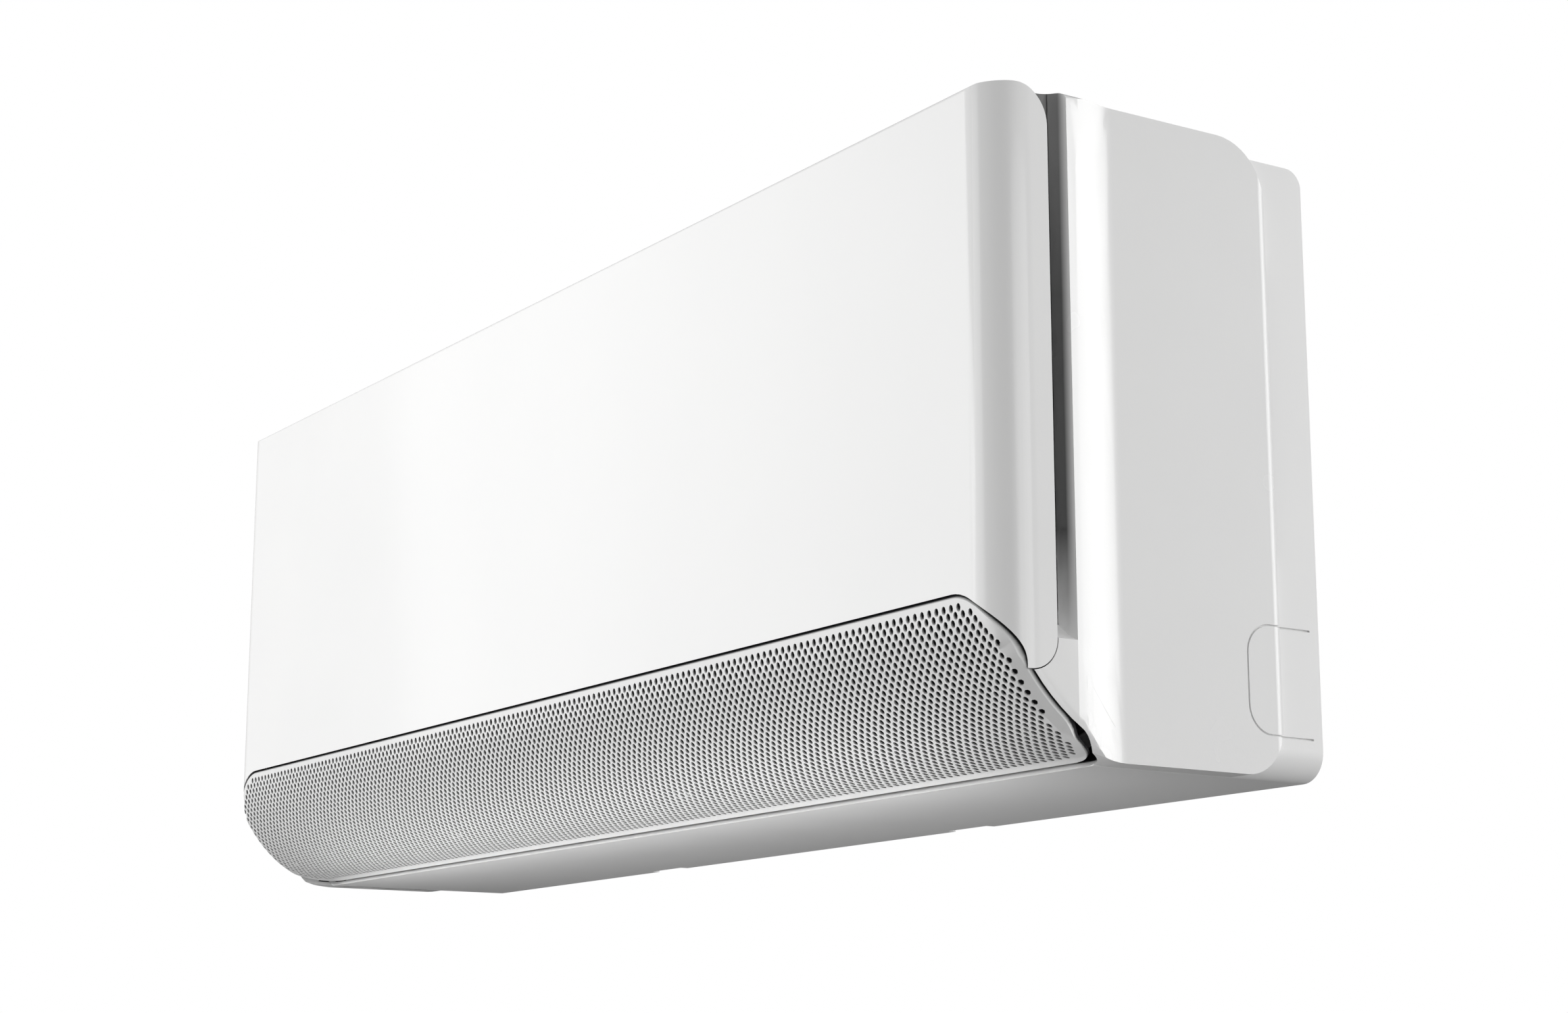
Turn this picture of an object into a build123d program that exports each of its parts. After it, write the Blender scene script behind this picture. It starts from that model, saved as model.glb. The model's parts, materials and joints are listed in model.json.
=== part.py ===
"""Mini split indoor unit: a wall air-conditioner, about 836 x 190 x 298 mm.

Frame: +X to the right as seen from the room, +Y into the wall, +Z up.
The origin is on the wall plane, at the middle of the wall plate's back face.
Lengths are in millimetres and angles in degrees.
"""
from math import asin, cos, degrees, pi, radians, sin, sqrt
import os

from build123d import *

# ---- overall form ---------------------------------------------------------
unit_width = 836.0
unit_height = 298.0
unit_depth = 190.4
wall = 2.5                      # moulded wall of the housings
play = 0.3                      # air between pieces that lie against each other
fit = 0.05                      # radial running clearance of pins and shafts

# ---- front panel ----------------------------------------------------------
panel_corner = 21.0             # plan radius of the panel's vertical corners
wing_depth = 30.2               # how far the panel wraps back along each side
wing_top_radius = 18.0
wing_low_radius = 14.0
wing_drop = 35.0                # wing's lowest point below the seam
panel_space = 15.5              # room between the panel and the casing's front wall
hinge_drop = 9.0                # panel hinge below the top
hinge_inset = 12.4              # panel hinge behind the front face
hinge_pin_radius = 2.0
hinge_margin = 34.0             # outer hinges inside the panel's ends

# ---- outlet and louver ----------------------------------------------------
seam_height = 71.2              # seam between panel and louver, above the underside
body_arc = 72.5                 # side-view radius of the body's lower front
louver_arc = 70.0               # side-view radius of the louver's outer face
louver_wall = 2.0
opening_corner = 34.0           # upper corner radius of the outlet, seen along its own direction
opening_low_corner = 24.0       # its lower corners, tighter than the louver's
opening_margin = 1.0            # side of the body left beside the outlet
end_radius = 12.0               # round edge between the curved lower front and the sides
end_swing = 30.0                # how far that edge's own centre lies behind the arc's
lip_setback = 64.5              # underside's front lip behind the front face
louver_gap = 1.3
pivot_sink = 9.0                # louver pivot behind the louver's outer face
pivot_pin_radius = 2.5
pivot_ear_radius = 5.0
pivot_rise = 13.3               # louver pivot across the outlet, behind the body's lower front corner
pivot_margin = 22.0             # outermost louver pivots inside the unit's ends
frame_sink = 76.0               # outlet frame behind that corner, along the outlet's direction
pocket_sink = 57.0              # where the outlet narrows behind the louver's ends
pocket_inset = 8.0
pocket_corner = 20.0

# ---- casing ---------------------------------------------------------------
side_inset = 6.0                # casing's flat side inside the panel's side
neck_inset = 9.0                # bottom of the groove behind the wing
groove_width = 11.0             # wing's rear edge to the casing's flared front edge
flare_length = 31.0             # flared front edge to the flat side
groove_sweep = 18.0             # radius of the groove's lower end
groove_floor = 48.0             # groove's lower end above the underside
step_depth = 26.7               # casing's rear edge in front of the wall
casing_top_radius = 28.0
casing_low_radius = 22.0
edge_radius = 4.0
knockout_height = 51.0
knockout_rise = 18.0            # knock-out above the underside
knockout_depth = 47.0           # knock-out's front edge to the wall
knockout_radius = 14.0
knockout_line = 0.9
knockout_web = 5.5              # plastic left between the knock-out's slots and the wall

# ---- chassis --------------------------------------------------------------
chassis_drop = 7.0              # chassis top below the casing's top
chassis_corner = 9.0
flange_depth = 48.0
back_wall_depth = 12.0          # front of the chassis back wall to the wall plane
left_room = 66.0                # unit's left end to the duct
right_room = 120.0              # unit's right end to the duct: motor and electronics
notch_places = (-166.0, 145.5)
notch_width = 34.0
notch_depth = 5.0
under_radius = 13.5             # front-view radius of the underside's two long edges

# ---- wall plate -----------------------------------------------------------
plate_width = 640.0
plate_height = 210.0
plate_sheet = 1.5
screw_spacing_x = 450.0
screw_spacing_z = 140.0
screw_hole_radius = 2.75
hook_places = (-240.0, 0.0, 240.0)

# ---- fan and duct ---------------------------------------------------------
fan_share = 3.0                 # depth beyond the fan's fixed room, over the fan's radius
fan_room = 52.4
fan_front_gap = 60.4            # unit's front to the fan: panel, front coil and air
fan_offset = 8.77               # fan's axis above the scroll's centre, across the outlet
fan_blades = 24
fan_spans = 3
blade_depth = 10.0
blade_wall = 1.6
disc_wall = 3.0
fan_end_gap = 5.0
shaft_radius = 4.0
scroll_gap = 6.0                # fan to scroll
scroll_end = 42.0               # angle at which the scroll ends behind the fan
floor_rise = 43.4               # duct's floor across the outlet, behind the lower front corner
roof_rise = -42.7               # tongue's wall across the outlet

# ---- coil -----------------------------------------------------------------
coil_depth = 24.0
coil_margin = 12.0              # duct's ends to the coil's ends
tube_radius = 3.5
tube_rows = 13.0                # distance between the two rows of tubes
tube_pitch = 21.0

# ---- air vanes ------------------------------------------------------------
vanes_per_bank = 5
vane_sink = 100.0               # vane pivots behind the lower front corner
vane_height = 52.0
vane_front = 22.0
vane_gap = 4.0                  # vane's rear edge to the fan
vane_lever = 14.0
vane_pin_radius = 2.0
link_pin_radius = 1.2
link_slack = 0.4

# ---- filters, display and button ------------------------------------------
filter_height = 5.0
filter_rest = 2.5               # thickness of the grid that a filter lies on
filter_drop = 1.0               # filter's top below the casing's top
filter_setback = 34.4           # filter's front edge behind the unit's front
filter_rear = -62.0
filter_bridge = 8.0             # half the bar between the two filters
filter_lift = 60.0
grid_bars = 6
display_margin = 118.0          # display's middle inside the unit's right end
display_z = 60.0
display_width = 60.0
display_height = 22.0
button_margin = 68.0
button_z = 60.0
button_radius = 5.0
button_travel = 1.5

# ---- motors, bearing and pipes --------------------------------------------
motor_gap = 12.0                # duct's end wall to the motor
motor_length = 52.0
bearing_radius = 11.0
bearing_seat_radius = 15.0
bearing_length = 9.0
gas_radius = 4.76
liquid_radius = 3.175
pipe_y = -20.0
gas_rise = 49.0                 # gas pipe above the underside
liquid_y = -30.0
liquid_rise = 24.0
pipe_end = 8.0
spigot_radius = 8.0
rib_shares = (0.8, 4.2, 7.6)    # ribs behind the duct, in vane pitches from its left end
hook_inset = 13.0               # hooks below the wall plate's top
tray_gap = 5.0                  # fan to the ledge under the rear coil
spigot_bore = 6.0
screw_rises = (-20.7, 24.3)     # frame screws across the outlet, behind the lower front corner
box_margin = 48.0               # electronics box's inner side to the unit's right end
box_width = 30.0
box_setback = 30.4              # its front behind the unit's front
box_rear = -60.0
box_low = -40.0
box_drop = 29.0                 # its top below the unit's top

# ---- derived places -------------------------------------------------------
half_width = unit_width / 2
top = unit_height / 2
under = -unit_height / 2
front = -unit_depth
side = half_width - side_inset
neck = half_width - neck_inset
wing_rear = front + wing_depth
nose = wing_rear + groove_width
casing_front = front + wall + panel_space
seam = under + seam_height
lip_y = front + lip_setback
hinge_y = front + hinge_inset
hinge_z = top - hinge_drop
chassis_side = side - wall - play
chassis_top = top - chassis_drop
root2 = sqrt(2)
corner_w = (front + under) / root2
corner_q = (front - under) / root2
outside = corner_w - 20
hinge_places = (hinge_margin - half_width, 0, half_width - hinge_margin)
pivot_end = half_width - pivot_margin
pivot_place = corner_q + pivot_rise
frame_depth = corner_w + frame_sink
pocket_depth = corner_w + pocket_sink
duct_left = left_room - half_width
duct_right = half_width - right_room
duct_floor = corner_q + floor_rise
duct_roof = corner_q + roof_rise
fan_radius = (unit_depth - fan_room) / fan_share
scroll_radius = fan_radius + scroll_gap
scroll_q = duct_floor - scroll_radius
fan_y = front + fan_front_gap + fan_radius
fan_z = fan_y - root2 * (scroll_q - fan_offset)
scroll_w = (fan_y + fan_z) / root2
tongue_depth = scroll_w - fan_radius
tray_z = fan_z + fan_radius + tray_gap
coil_left = duct_left + coil_margin
coil_right = duct_right - coil_margin
vane_depth = corner_w + vane_sink
vane_back = tongue_depth - vane_depth - vane_gap
motor_left = duct_right + motor_gap
motor_radius = fan_radius - 4
filter_front = front + filter_setback
filter_edges = ((duct_left + 2, -filter_bridge), (filter_bridge, duct_right - 2))
display_x = half_width - display_margin
button_x = half_width - button_margin
gas_z = under + gas_rise
liquid_z = under + liquid_rise
hook_z = plate_height / 2 - hook_inset
screw_places = [corner_q + rise for rise in screw_rises]
rib_front = lip_y + 27.9
bank_width = (duct_right - duct_left) / 2
vane_pitch = bank_width / vanes_per_bank
vane_places = [duct_left + (i + 0.5) * vane_pitch for i in range(2 * vanes_per_bank)]
crank_places = [duct_left + 3 * vane_pitch, duct_left + (vanes_per_bank + 3) * vane_pitch]
rib_places = [duct_left + share * vane_pitch for share in rib_shares]
fan_left = duct_left + fan_end_gap
fan_right = duct_right - fan_end_gap
frame_back = frame_depth + wall
pivot_places = [-pivot_end, duct_left + 3 * vane_pitch, duct_left + 7 * vane_pitch, pivot_end]
arc_z = under + body_arc
louver_y = front + louver_arc
box_x0 = half_width - box_margin
box_x1 = box_x0 + box_width
box_y0, box_y1 = front + box_setback, box_rear
box_z0, box_z1 = box_low, top - box_drop


def across(y, z):
    """Place of a side-view point across the outlet, downwards and back at 45 degrees."""
    return (y - z) / root2


def outlet_point(q, w):
    """Side-view (y, z) of a point given across (q) and along (w) the outlet."""
    return ((w + q) / root2, (w - q) / root2)


opening_top = across(front, seam)
opening_low = across(lip_y, under)
louver_top = opening_top + louver_gap
louver_low = opening_low - louver_gap


def louver_point(q, radius=louver_arc):
    """Side-view point of an arc about the louver's own centre, at a place across the outlet."""
    turn = pi / 4 + asin((q - across(louver_y, arc_z)) / louver_arc)
    return (louver_y - radius * cos(turn), arc_z - radius * sin(turn))


above_pivot = louver_point(pivot_place)
pivot_y = above_pivot[0] + pivot_sink / root2
pivot_z = above_pivot[1] + pivot_sink / root2
outlet_plane = Plane(origin=(0, 0, 0), x_dir=(1, 0, 0), z_dir=(0, 1, 1))


# ---- plain helpers --------------------------------------------------------
def block(x0, x1, y0, y1, z0, z1):
    """Box between two corners."""
    centre = ((x0 + x1) / 2, (y0 + y1) / 2, (z0 + z1) / 2)
    return Pos(*centre) * Box(x1 - x0, y1 - y0, z1 - z0)


def along_x(sketch, x0, x1):
    """Side-view sketch (y, z) pulled out along X."""
    return Pos(x0, 0, 0) * extrude(Plane.YZ * sketch, x1 - x0)


def along_y(sketch, y0, y1):
    """Front-view sketch (x, z) pulled out along Y."""
    return Pos(0, y1, 0) * extrude(Plane.XZ * sketch, y1 - y0)


def along_z(sketch, z0, z1):
    """Plan sketch (x, y) pulled up."""
    return Pos(0, 0, z0) * extrude(sketch, z1 - z0)


def rod_x(y, z, radius, x0, x1):
    """Round bar along X."""
    return Pos(x0, y, z) * extrude(Plane.YZ * Circle(radius), x1 - x0)


def both_sides(shape):
    """A shape and its mirror image on the other side of the unit."""
    return shape + mirror(shape, about=Plane.YZ)


def rounded(corners, radii):
    """Polygon whose corners are rounded by the radius given for each, 0 for a sharp one."""
    face = make_face(Polyline(*corners, close=True))
    for corner, radius in zip(corners, radii):
        if radius > 0:
            vertex = face.vertices().sort_by_distance(Vector(*corner, 0))[0]
            face = fillet(vertex, radius)
    return face


def quad(q0, q1, w0, w1):
    """Side-view rectangle lying along the outlet's 45 degree direction."""
    corners = (outlet_point(q0, w0), outlet_point(q1, w0), outlet_point(q1, w1), outlet_point(q0, w1))
    return make_face(Polyline(*corners, close=True))


def ring(y, z, outer, inner):
    """Side-view ring."""
    return Pos(y, z) * (Circle(outer) - Circle(inner))


def outlet_prism(grow, w0, w1, narrow=0.0, corner=opening_corner, low_corner=opening_low_corner):
    """Solid that fills the outlet along its own direction, grown by an amount all round."""
    x = half_width - opening_margin - narrow + grow
    q0 = opening_top - grow
    q1 = opening_low + grow
    upper = corner + grow
    lower = low_corner + grow
    outline = rounded(((-x, q0), (x, q0), (x, q1), (-x, q1)), (upper, upper, lower, lower))
    return outlet_plane.offset(w0) * extrude(outline, w1 - w0)


# ---- front panel ----------------------------------------------------------
def rounded_plan(inset, rear):
    """Plan of the body with its two rounded front corners."""
    x = half_width - inset
    y = front + inset
    radius = panel_corner - inset
    return rounded(((-x, y), (x, y), (x, rear), (-x, rear)), (radius, radius, 0, 0))


def wing_view(grow):
    """Side view of the panel; grown, it is the room that the casing leaves for it."""
    low = seam - wing_drop - grow
    high = top + 10 * grow
    corners = ((front - grow, low), (wing_rear + grow, low), (wing_rear + grow, high), (front - grow, high))
    top_radius = wing_top_radius if grow == 0 else 0
    front_radius = 2 if grow == 0 else 0
    return rounded(corners, (0, wing_low_radius + grow, top_radius, front_radius))


def end_rounding():
    """What the round edges between the curved lower front and the sides leave out."""
    reach = body_arc + end_swing
    inner = reach - end_radius
    x = half_width - end_radius
    corner = Pos(x + 10, inner + 10) * Rectangle(20, 20) - Pos(x, inner) * Circle(end_radius)
    centre = (0, front + body_arc + end_swing / root2, arc_z + end_swing / root2)
    section = Plane(origin=centre, x_dir=(1, 0, 0), z_dir=(0, 0, -1)) * corner
    return both_sides(revolve(section, Axis(centre, (1, 0, 0)), 90))


def front_panel():
    """Panel with wrapped sides, an edge that follows the louver, and hinge lugs inside."""
    low = seam - wing_drop - 1
    body = along_z(rounded_plan(0, wing_rear), low, top)
    body &= along_x(wing_view(0), -half_width - 1, half_width + 1)
    hollow = along_z(rounded_plan(wall, wing_rear + 1), low - 1, top + 1)
    hollow -= outlet_prism(wall, corner_w + 10, corner_w + 130)
    body -= hollow
    body -= outlet_prism(0, outside, corner_w + 140)
    body -= block(-neck - 2, neck + 2, casing_front - 3, 0, under, top + 1)
    for x in hinge_places:
        body += hinge_lug(x)
    return body


def hinge_lug(x):
    """Lug with a pin on each side, which clips into a pair of ears on the casing."""
    arm = block(x - 3, x + 3, front + wall - 0.5, hinge_y, hinge_z - 3.5, hinge_z + 3.5)
    arm += rod_x(hinge_y, hinge_z, 3.5, x - 3, x + 3)
    return arm + rod_x(hinge_y, hinge_z, hinge_pin_radius, x - 7, x + 7)


# ---- casing ---------------------------------------------------------------
def flared_plan():
    """Half plan of the casing: corner, flared front edge, waist and flat side."""
    corner = (half_width - panel_corner, front + panel_corner)
    third = flare_length * 0.4
    rear = nose + flare_length
    return make_face([
        Line((0, front), (corner[0], front)),
        CenterArc(corner, panel_corner, -90, 90),
        Line((half_width, corner[1]), (half_width, nose)),
        Bezier((half_width, nose), (half_width, nose + third), (side, rear - third), (side, rear)),
        Line((side, rear), (side, -step_depth)),
        Line((side, -step_depth), (0, -step_depth)),
        Line((0, -step_depth), (0, front)),
    ])


def groove_cutter():
    """Groove behind the panel's wing, which sweeps outwards at its lower end."""
    outer = half_width + 5
    plan = make_face([
        Line((neck, casing_front - 1), (neck, wing_rear)),
        Bezier((neck, wing_rear), (neck, wing_rear + groove_width * 0.6), (half_width, nose)),
        Line((half_width, nose), (outer, nose)),
        Line((outer, nose), (outer, casing_front - 1)),
        Line((outer, casing_front - 1), (neck, casing_front - 1)),
    ])
    low = under + groove_floor
    centre = (neck + groove_sweep, low + groove_sweep)
    view = make_face([
        Line((neck, top + 1), (neck, centre[1])),
        CenterArc(centre, groove_sweep, 180, 90),
        Line((centre[0], low), (centre[0], top + 1)),
        Line((centre[0], top + 1), (neck, top + 1)),
    ])
    return along_z(plan, low - 1, top + 1) & along_y(view, front, nose + 5)


def knockout_view(inset):
    """Side view of the pipe knock-out, with two rounded front corners."""
    low = under + knockout_rise + inset
    high = under + knockout_rise + knockout_height - inset
    radius = knockout_radius - inset
    y = inset - knockout_depth
    rear = -knockout_web
    return rounded(((y, low), (rear, low), (rear, high), (y, high)), (radius, 0, 0, radius))


def knockout_groove():
    """D-shaped line round the pipe knock-out; its two slots stop before the wall."""
    return knockout_view(0) - knockout_view(knockout_line)


def casing_cavity():
    """Inside of the casing, with a wall left round the outlet."""
    inner = neck - wall
    outer = side - wall
    plan = make_face(Polyline((0, casing_front + wall), (inner, casing_front + wall), (inner, nose + 4),
                              (outer, nose + 4), (outer, 5), (0, 5), close=True))
    room = both_sides(along_z(plan, under - 1, top - wall))
    corners = ((front + wall, under + wall), (5, under + wall), (5, top - wall), (front + wall, top - wall))
    room &= along_x(rounded(corners, (body_arc - wall, 0, 0, 0)), -half_width, half_width)
    room -= block(-half_width, half_width, -flange_depth - play, 6, chassis_top + play, top)
    straight = half_width - opening_margin - opening_corner + play
    reveal = outlet_prism(wall, outside, frame_back)
    reveal -= block(-straight, straight, lip_y - 1, rib_front + 8, under - 5, under + 30)
    return room - reveal


def chassis_outline(inset):
    """Front view of the chassis with its two rounded lower corners."""
    x = chassis_side - inset
    low = under + inset
    radius = under_radius - inset
    return rounded(((-x, low), (x, low), (x, top + 1), (-x, top + 1)), (radius, radius, 0, 0))


def under_shell(y0, y1, grow):
    """The chassis's bottom with its rounded edges, grown by an amount on both sides."""
    shell = along_y(chassis_outline(-grow) - chassis_outline(wall + grow), y0, y1)
    return shell & block(-half_width, half_width, y0, y1, under - grow, under + under_radius + grow)


def filter_bed():
    """Grid under the filters, inside the casing."""
    bed = top - filter_drop - filter_height
    x0 = filter_edges[0][0] - wall
    x1 = filter_edges[1][1] + wall
    return block(x0, x1, filter_front - wall, filter_rear + wall, bed - filter_rest, top - wall + 0.5)


def filter_wells():
    """Two recesses in the casing's top, open below through a coarse grid."""
    wells = Part()
    bed = top - filter_drop - filter_height
    for x0, x1 in filter_edges:
        wells += block(x0, x1, filter_front, filter_rear, bed, top + 1)
        pitch = (x1 - x0 - 6) / grid_bars
        for i in range(grid_bars):
            x = x0 + 3 + i * pitch
            wells += block(x + 2, x + pitch - 2, filter_front + 5, filter_rear - 5, top - 30, top + 1)
    return wells


def hinge_ears(x):
    """Pair of ears in front of the casing's wall that take a lug's pins."""
    ears = Part()
    for sign in (-1, 1):
        x0, x1 = sorted((x + sign * 3.4, x + sign * 7.4))
        ear = block(x0, x1, hinge_y, casing_front + 1, hinge_z - 4.5, hinge_z + 4)
        ear += rod_x(hinge_y, hinge_z, 4.5, x0, x1)
        ears += ear - rod_x(hinge_y, hinge_z, hinge_pin_radius + fit, x0 - 1, x1 + 1)
    return ears


def casing():
    """Main housing: sides, top with its filter wells, front wall and outlet cheeks."""
    corners = ((front, under), (-step_depth, under), (-step_depth, top), (front, top))
    view = rounded(corners, (body_arc, casing_low_radius, casing_top_radius, 2))
    body = both_sides(along_z(flared_plan(), under, top))
    body &= along_x(view, -half_width - 1, half_width + 1)
    rim = rounded(((-half_width - 9, under - 9), (half_width + 9, under - 9), (half_width, top),
                   (-half_width, top)), (0, 0, edge_radius, edge_radius))
    body &= along_y(rim, front - 1, 0)
    room = along_x(wing_view(0.5), -half_width - 1, half_width + 1)
    body -= room - block(-neck, neck, casing_front, 0, under, top + 9)
    body -= both_sides(groove_cutter())
    body -= casing_cavity()
    body += filter_bed()
    body -= filter_wells()
    body -= outlet_prism(0, outside, pocket_depth)
    body -= outlet_prism(0, pocket_depth - 1, frame_back, pocket_inset, pocket_corner, pocket_corner)
    body -= under_shell(lip_y - play, 1, play)
    body -= end_rounding()
    body -= block(display_x - display_width / 2, display_x + display_width / 2,
                  casing_front - 1, casing_front + wall + 1,
                  display_z - display_height / 2, display_z + display_height / 2)
    hole = Pos(button_x, button_z) * Circle(button_radius + play)
    body -= along_y(hole, casing_front - 1, casing_front + wall + 1)
    for x in hinge_places:
        body += hinge_ears(x)
    return body - both_sides(along_x(knockout_groove(), side - wall * 0.6, side + 2))


# ---- louver and its frame -------------------------------------------------
def louver():
    """Curved louver with rounded corners, and lugs with pins behind it."""
    reach = 3 * louver_arc
    shell = ring(louver_y, arc_z, louver_arc, louver_arc - louver_wall)
    quarter = ((louver_y, arc_z), (louver_y - reach, arc_z + reach), (louver_y - reach, arc_z - reach),
               (louver_y + reach, arc_z - reach))
    shell &= make_face(Polyline(*quarter, close=True))
    straight = along_x(shell, -half_width - 1, half_width + 1)
    body = straight & along_z(rounded_plan(0, front + 130), under, seam + 60)
    body &= outlet_prism(-louver_gap, outside, outside + 110, 0, opening_corner, opening_corner)
    body -= end_rounding()
    for x in pivot_places[:-1]:
        body += louver_lug(x, (-1, 1))
    return body + louver_lug(pivot_end, (-1,))


def louver_lug(x, sides):
    """Lugs behind the louver on the given sides of an ear, and the pin through them."""
    lug = Part()
    sink = pivot_sink - louver_wall / 2
    for sign in sides:
        x0, x1 = sorted((x + sign * 2.4, x + sign * 5.4))
        view = Pos(pivot_y, pivot_z) * Circle(4)
        lean = Pos(pivot_y, pivot_z) * Rot(0, 0, 45) * Pos(-sink / 2, 0) * Rectangle(sink, 8)
        lug += along_x(view + lean, x0, x1)
    return lug + rod_x(pivot_y, pivot_z, pivot_pin_radius, x - 5, x + 5)


def pivot_ear(x):
    """Ear of the outlet frame that carries one of the louver's pins."""
    w_pivot = (pivot_y + pivot_z) / root2
    view = quad(pivot_place - pivot_ear_radius, pivot_place + pivot_ear_radius, w_pivot, frame_depth + 0.5)
    view += Pos(pivot_y, pivot_z) * Circle(pivot_ear_radius)
    view -= Pos(pivot_y, pivot_z) * Circle(pivot_pin_radius + fit)
    return along_x(view, x - 2, x + 2)


def outlet_frame():
    """Plate round the air outlet's mouth, with the ears of the louver's pivots."""
    body = outlet_prism(-play, frame_depth, frame_back, pocket_inset, pocket_corner, pocket_corner)
    window = quad(duct_roof + 2, duct_floor - 6, frame_depth - 1, frame_back + 1)
    body -= along_x(window, duct_left + 2, duct_right - 2)
    for x in pivot_places[1:-1]:
        body += along_x(quad(duct_roof, duct_floor - 4, frame_depth, frame_back), x - 3, x + 3)
    for x in pivot_places:
        body += pivot_ear(x)
    for x, q in screw_points():
        body -= frame_post(x, q, 1.6, frame_depth - 1, frame_back + 1)
    return body


def screw_points():
    """Places (x, q) of the screws that hold the outlet frame to the chassis."""
    return [(x, q) for x in (duct_left - wall - 3.5, duct_right + wall + 3.5) for q in screw_places]


def frame_post(x, q, radius, w0, w1):
    """Round post along the outlet's direction."""
    return outlet_plane.offset(w0) * Pos(x, q) * extrude(Circle(radius), w1 - w0)


def frame_screws():
    """Screws that hold the outlet frame."""
    body = Part()
    for x, q in screw_points():
        body += frame_post(x, q, 3.2, frame_depth - 2, frame_depth)
        body += frame_post(x, q, 1.25, frame_depth - 1, frame_back + 10)
        body -= frame_post(x, q, 1.0, frame_depth - 3, frame_depth - 1)
    return body


def louver_motor():
    """Small stepper motor beside the right-hand pivot, with its output boss."""
    x0 = pivot_end + 2
    body = rod_x(pivot_y, pivot_z, 5.5, x0 + 1, x0 + 8) + rod_x(pivot_y, pivot_z, 4.0, x0, x0 + 2)
    return body - rod_x(pivot_y, pivot_z, pivot_pin_radius + fit, x0 - 1, x0 + 4)


# ---- chassis --------------------------------------------------------------
scroll_y, scroll_z = outlet_point(scroll_q, scroll_w)


def duct_view():
    """Side view of the duct floor and the scroll that wraps the fan's back."""
    floor = quad(duct_floor, duct_floor + wall, frame_back, scroll_w + 0.5)
    band = ring(scroll_y, scroll_z, scroll_radius + wall, scroll_radius)
    reach = 3 * scroll_radius
    sector = make_face(Polyline(
        (scroll_y, scroll_z), (scroll_y + reach * cos(radians(-45)), scroll_z + reach * sin(radians(-45))),
        (scroll_y + reach, scroll_z),
        (scroll_y + reach * cos(radians(scroll_end)), scroll_z + reach * sin(radians(scroll_end))),
        close=True))
    return floor + (band & sector)


def end_wall_view():
    """Side view of the duct's end walls, which also close the fan's ends."""
    start = outlet_point(duct_roof, frame_back)
    low = outlet_point(duct_floor + wall, frame_back)
    back = outlet_point(duct_floor + wall, scroll_w)
    tip = outlet_point(duct_roof, tongue_depth)
    body = make_face(Polyline(start, low, back, (scroll_y, scroll_z), tip, close=True))
    behind = quad(scroll_q - 2 * scroll_radius, scroll_q + 2 * scroll_radius, tongue_depth + 5, 0)
    return body + (Pos(scroll_y, scroll_z) * Circle(scroll_radius + wall) & behind)


def web(x0, x1):
    """Upright plate from the duct to the back wall and to the underside, clear of the pipes."""
    body = block(x0, x1, fan_y + 26, -back_wall_depth - 1, fan_z - 40, fan_z + 38)
    return body + block(x0, x1, rib_front, fan_y + 32, under + 1, fan_z - 39)


def rib(x):
    """Rib between the duct and the chassis."""
    body = web(x - 1, x + 1)
    body -= rod_x(scroll_y, scroll_z, scroll_radius + 1, x - 2, x + 2)
    return body - along_x(quad(scroll_q - 50, duct_floor + 1, corner_w, scroll_w), x - 2, x + 2)


def underside():
    """Bottom with rounded long edges, and the outlet's lower wall behind its front lip."""
    body = under_shell(lip_y, 0, 0) - outlet_prism(0, outside, frame_depth)
    straight = half_width - opening_margin - opening_corner
    start = (lip_y + under) / root2
    reveal = quad(opening_low, opening_low + 2, start, frame_back - 2)
    body += along_x(reveal, -straight, straight) - block(-side, side, front, 0, under - 9, under)
    return body


def motor_cradle():
    """Two cradle plates on the chassis under the fan motor."""
    cradle = Part()
    for x in (motor_left + 15, motor_left + 32):
        y0, y1 = fan_y - motor_radius - 10, fan_y + motor_radius + 8
        plate = block(x, x + 3, y0, y1, fan_z - motor_radius - 3, fan_z - 3)
        plate += block(x, x + 3, rib_front, fan_y + 34, under + 1, fan_z - motor_radius - 2)
        cradle += plate - rod_x(fan_y, fan_z, motor_radius, x - 1, x + 4)
    tray_top = fan_z - motor_radius - 15
    tray = block(motor_left + 15, motor_left + 35, rib_front, fan_y + 34, tray_top - 3, tray_top)
    return cradle + tray


def vane_frame(x):
    """Plane at a vane's pivot: local z stands off the duct's floor, local y runs upstream."""
    y, z = outlet_point(duct_floor, vane_depth)
    return Plane(origin=(x, y, z), x_dir=(1, 0, 0), z_dir=(0, -1, 1))


def post(x, radius, low, high, along=0.0, side_step=0.0):
    """Round post standing on the duct's floor near a vane's pivot."""
    return vane_frame(x) * Pos(side_step, along, low) * extrude(Circle(radius), high - low)


def slab(x, x0, x1, y0, y1, low, high):
    """Box in a vane's own frame."""
    centre = ((x0 + x1) / 2, (y0 + y1) / 2, (low + high) / 2)
    return vane_frame(x) * Pos(*centre) * Box(x1 - x0, y1 - y0, high - low)


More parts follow.
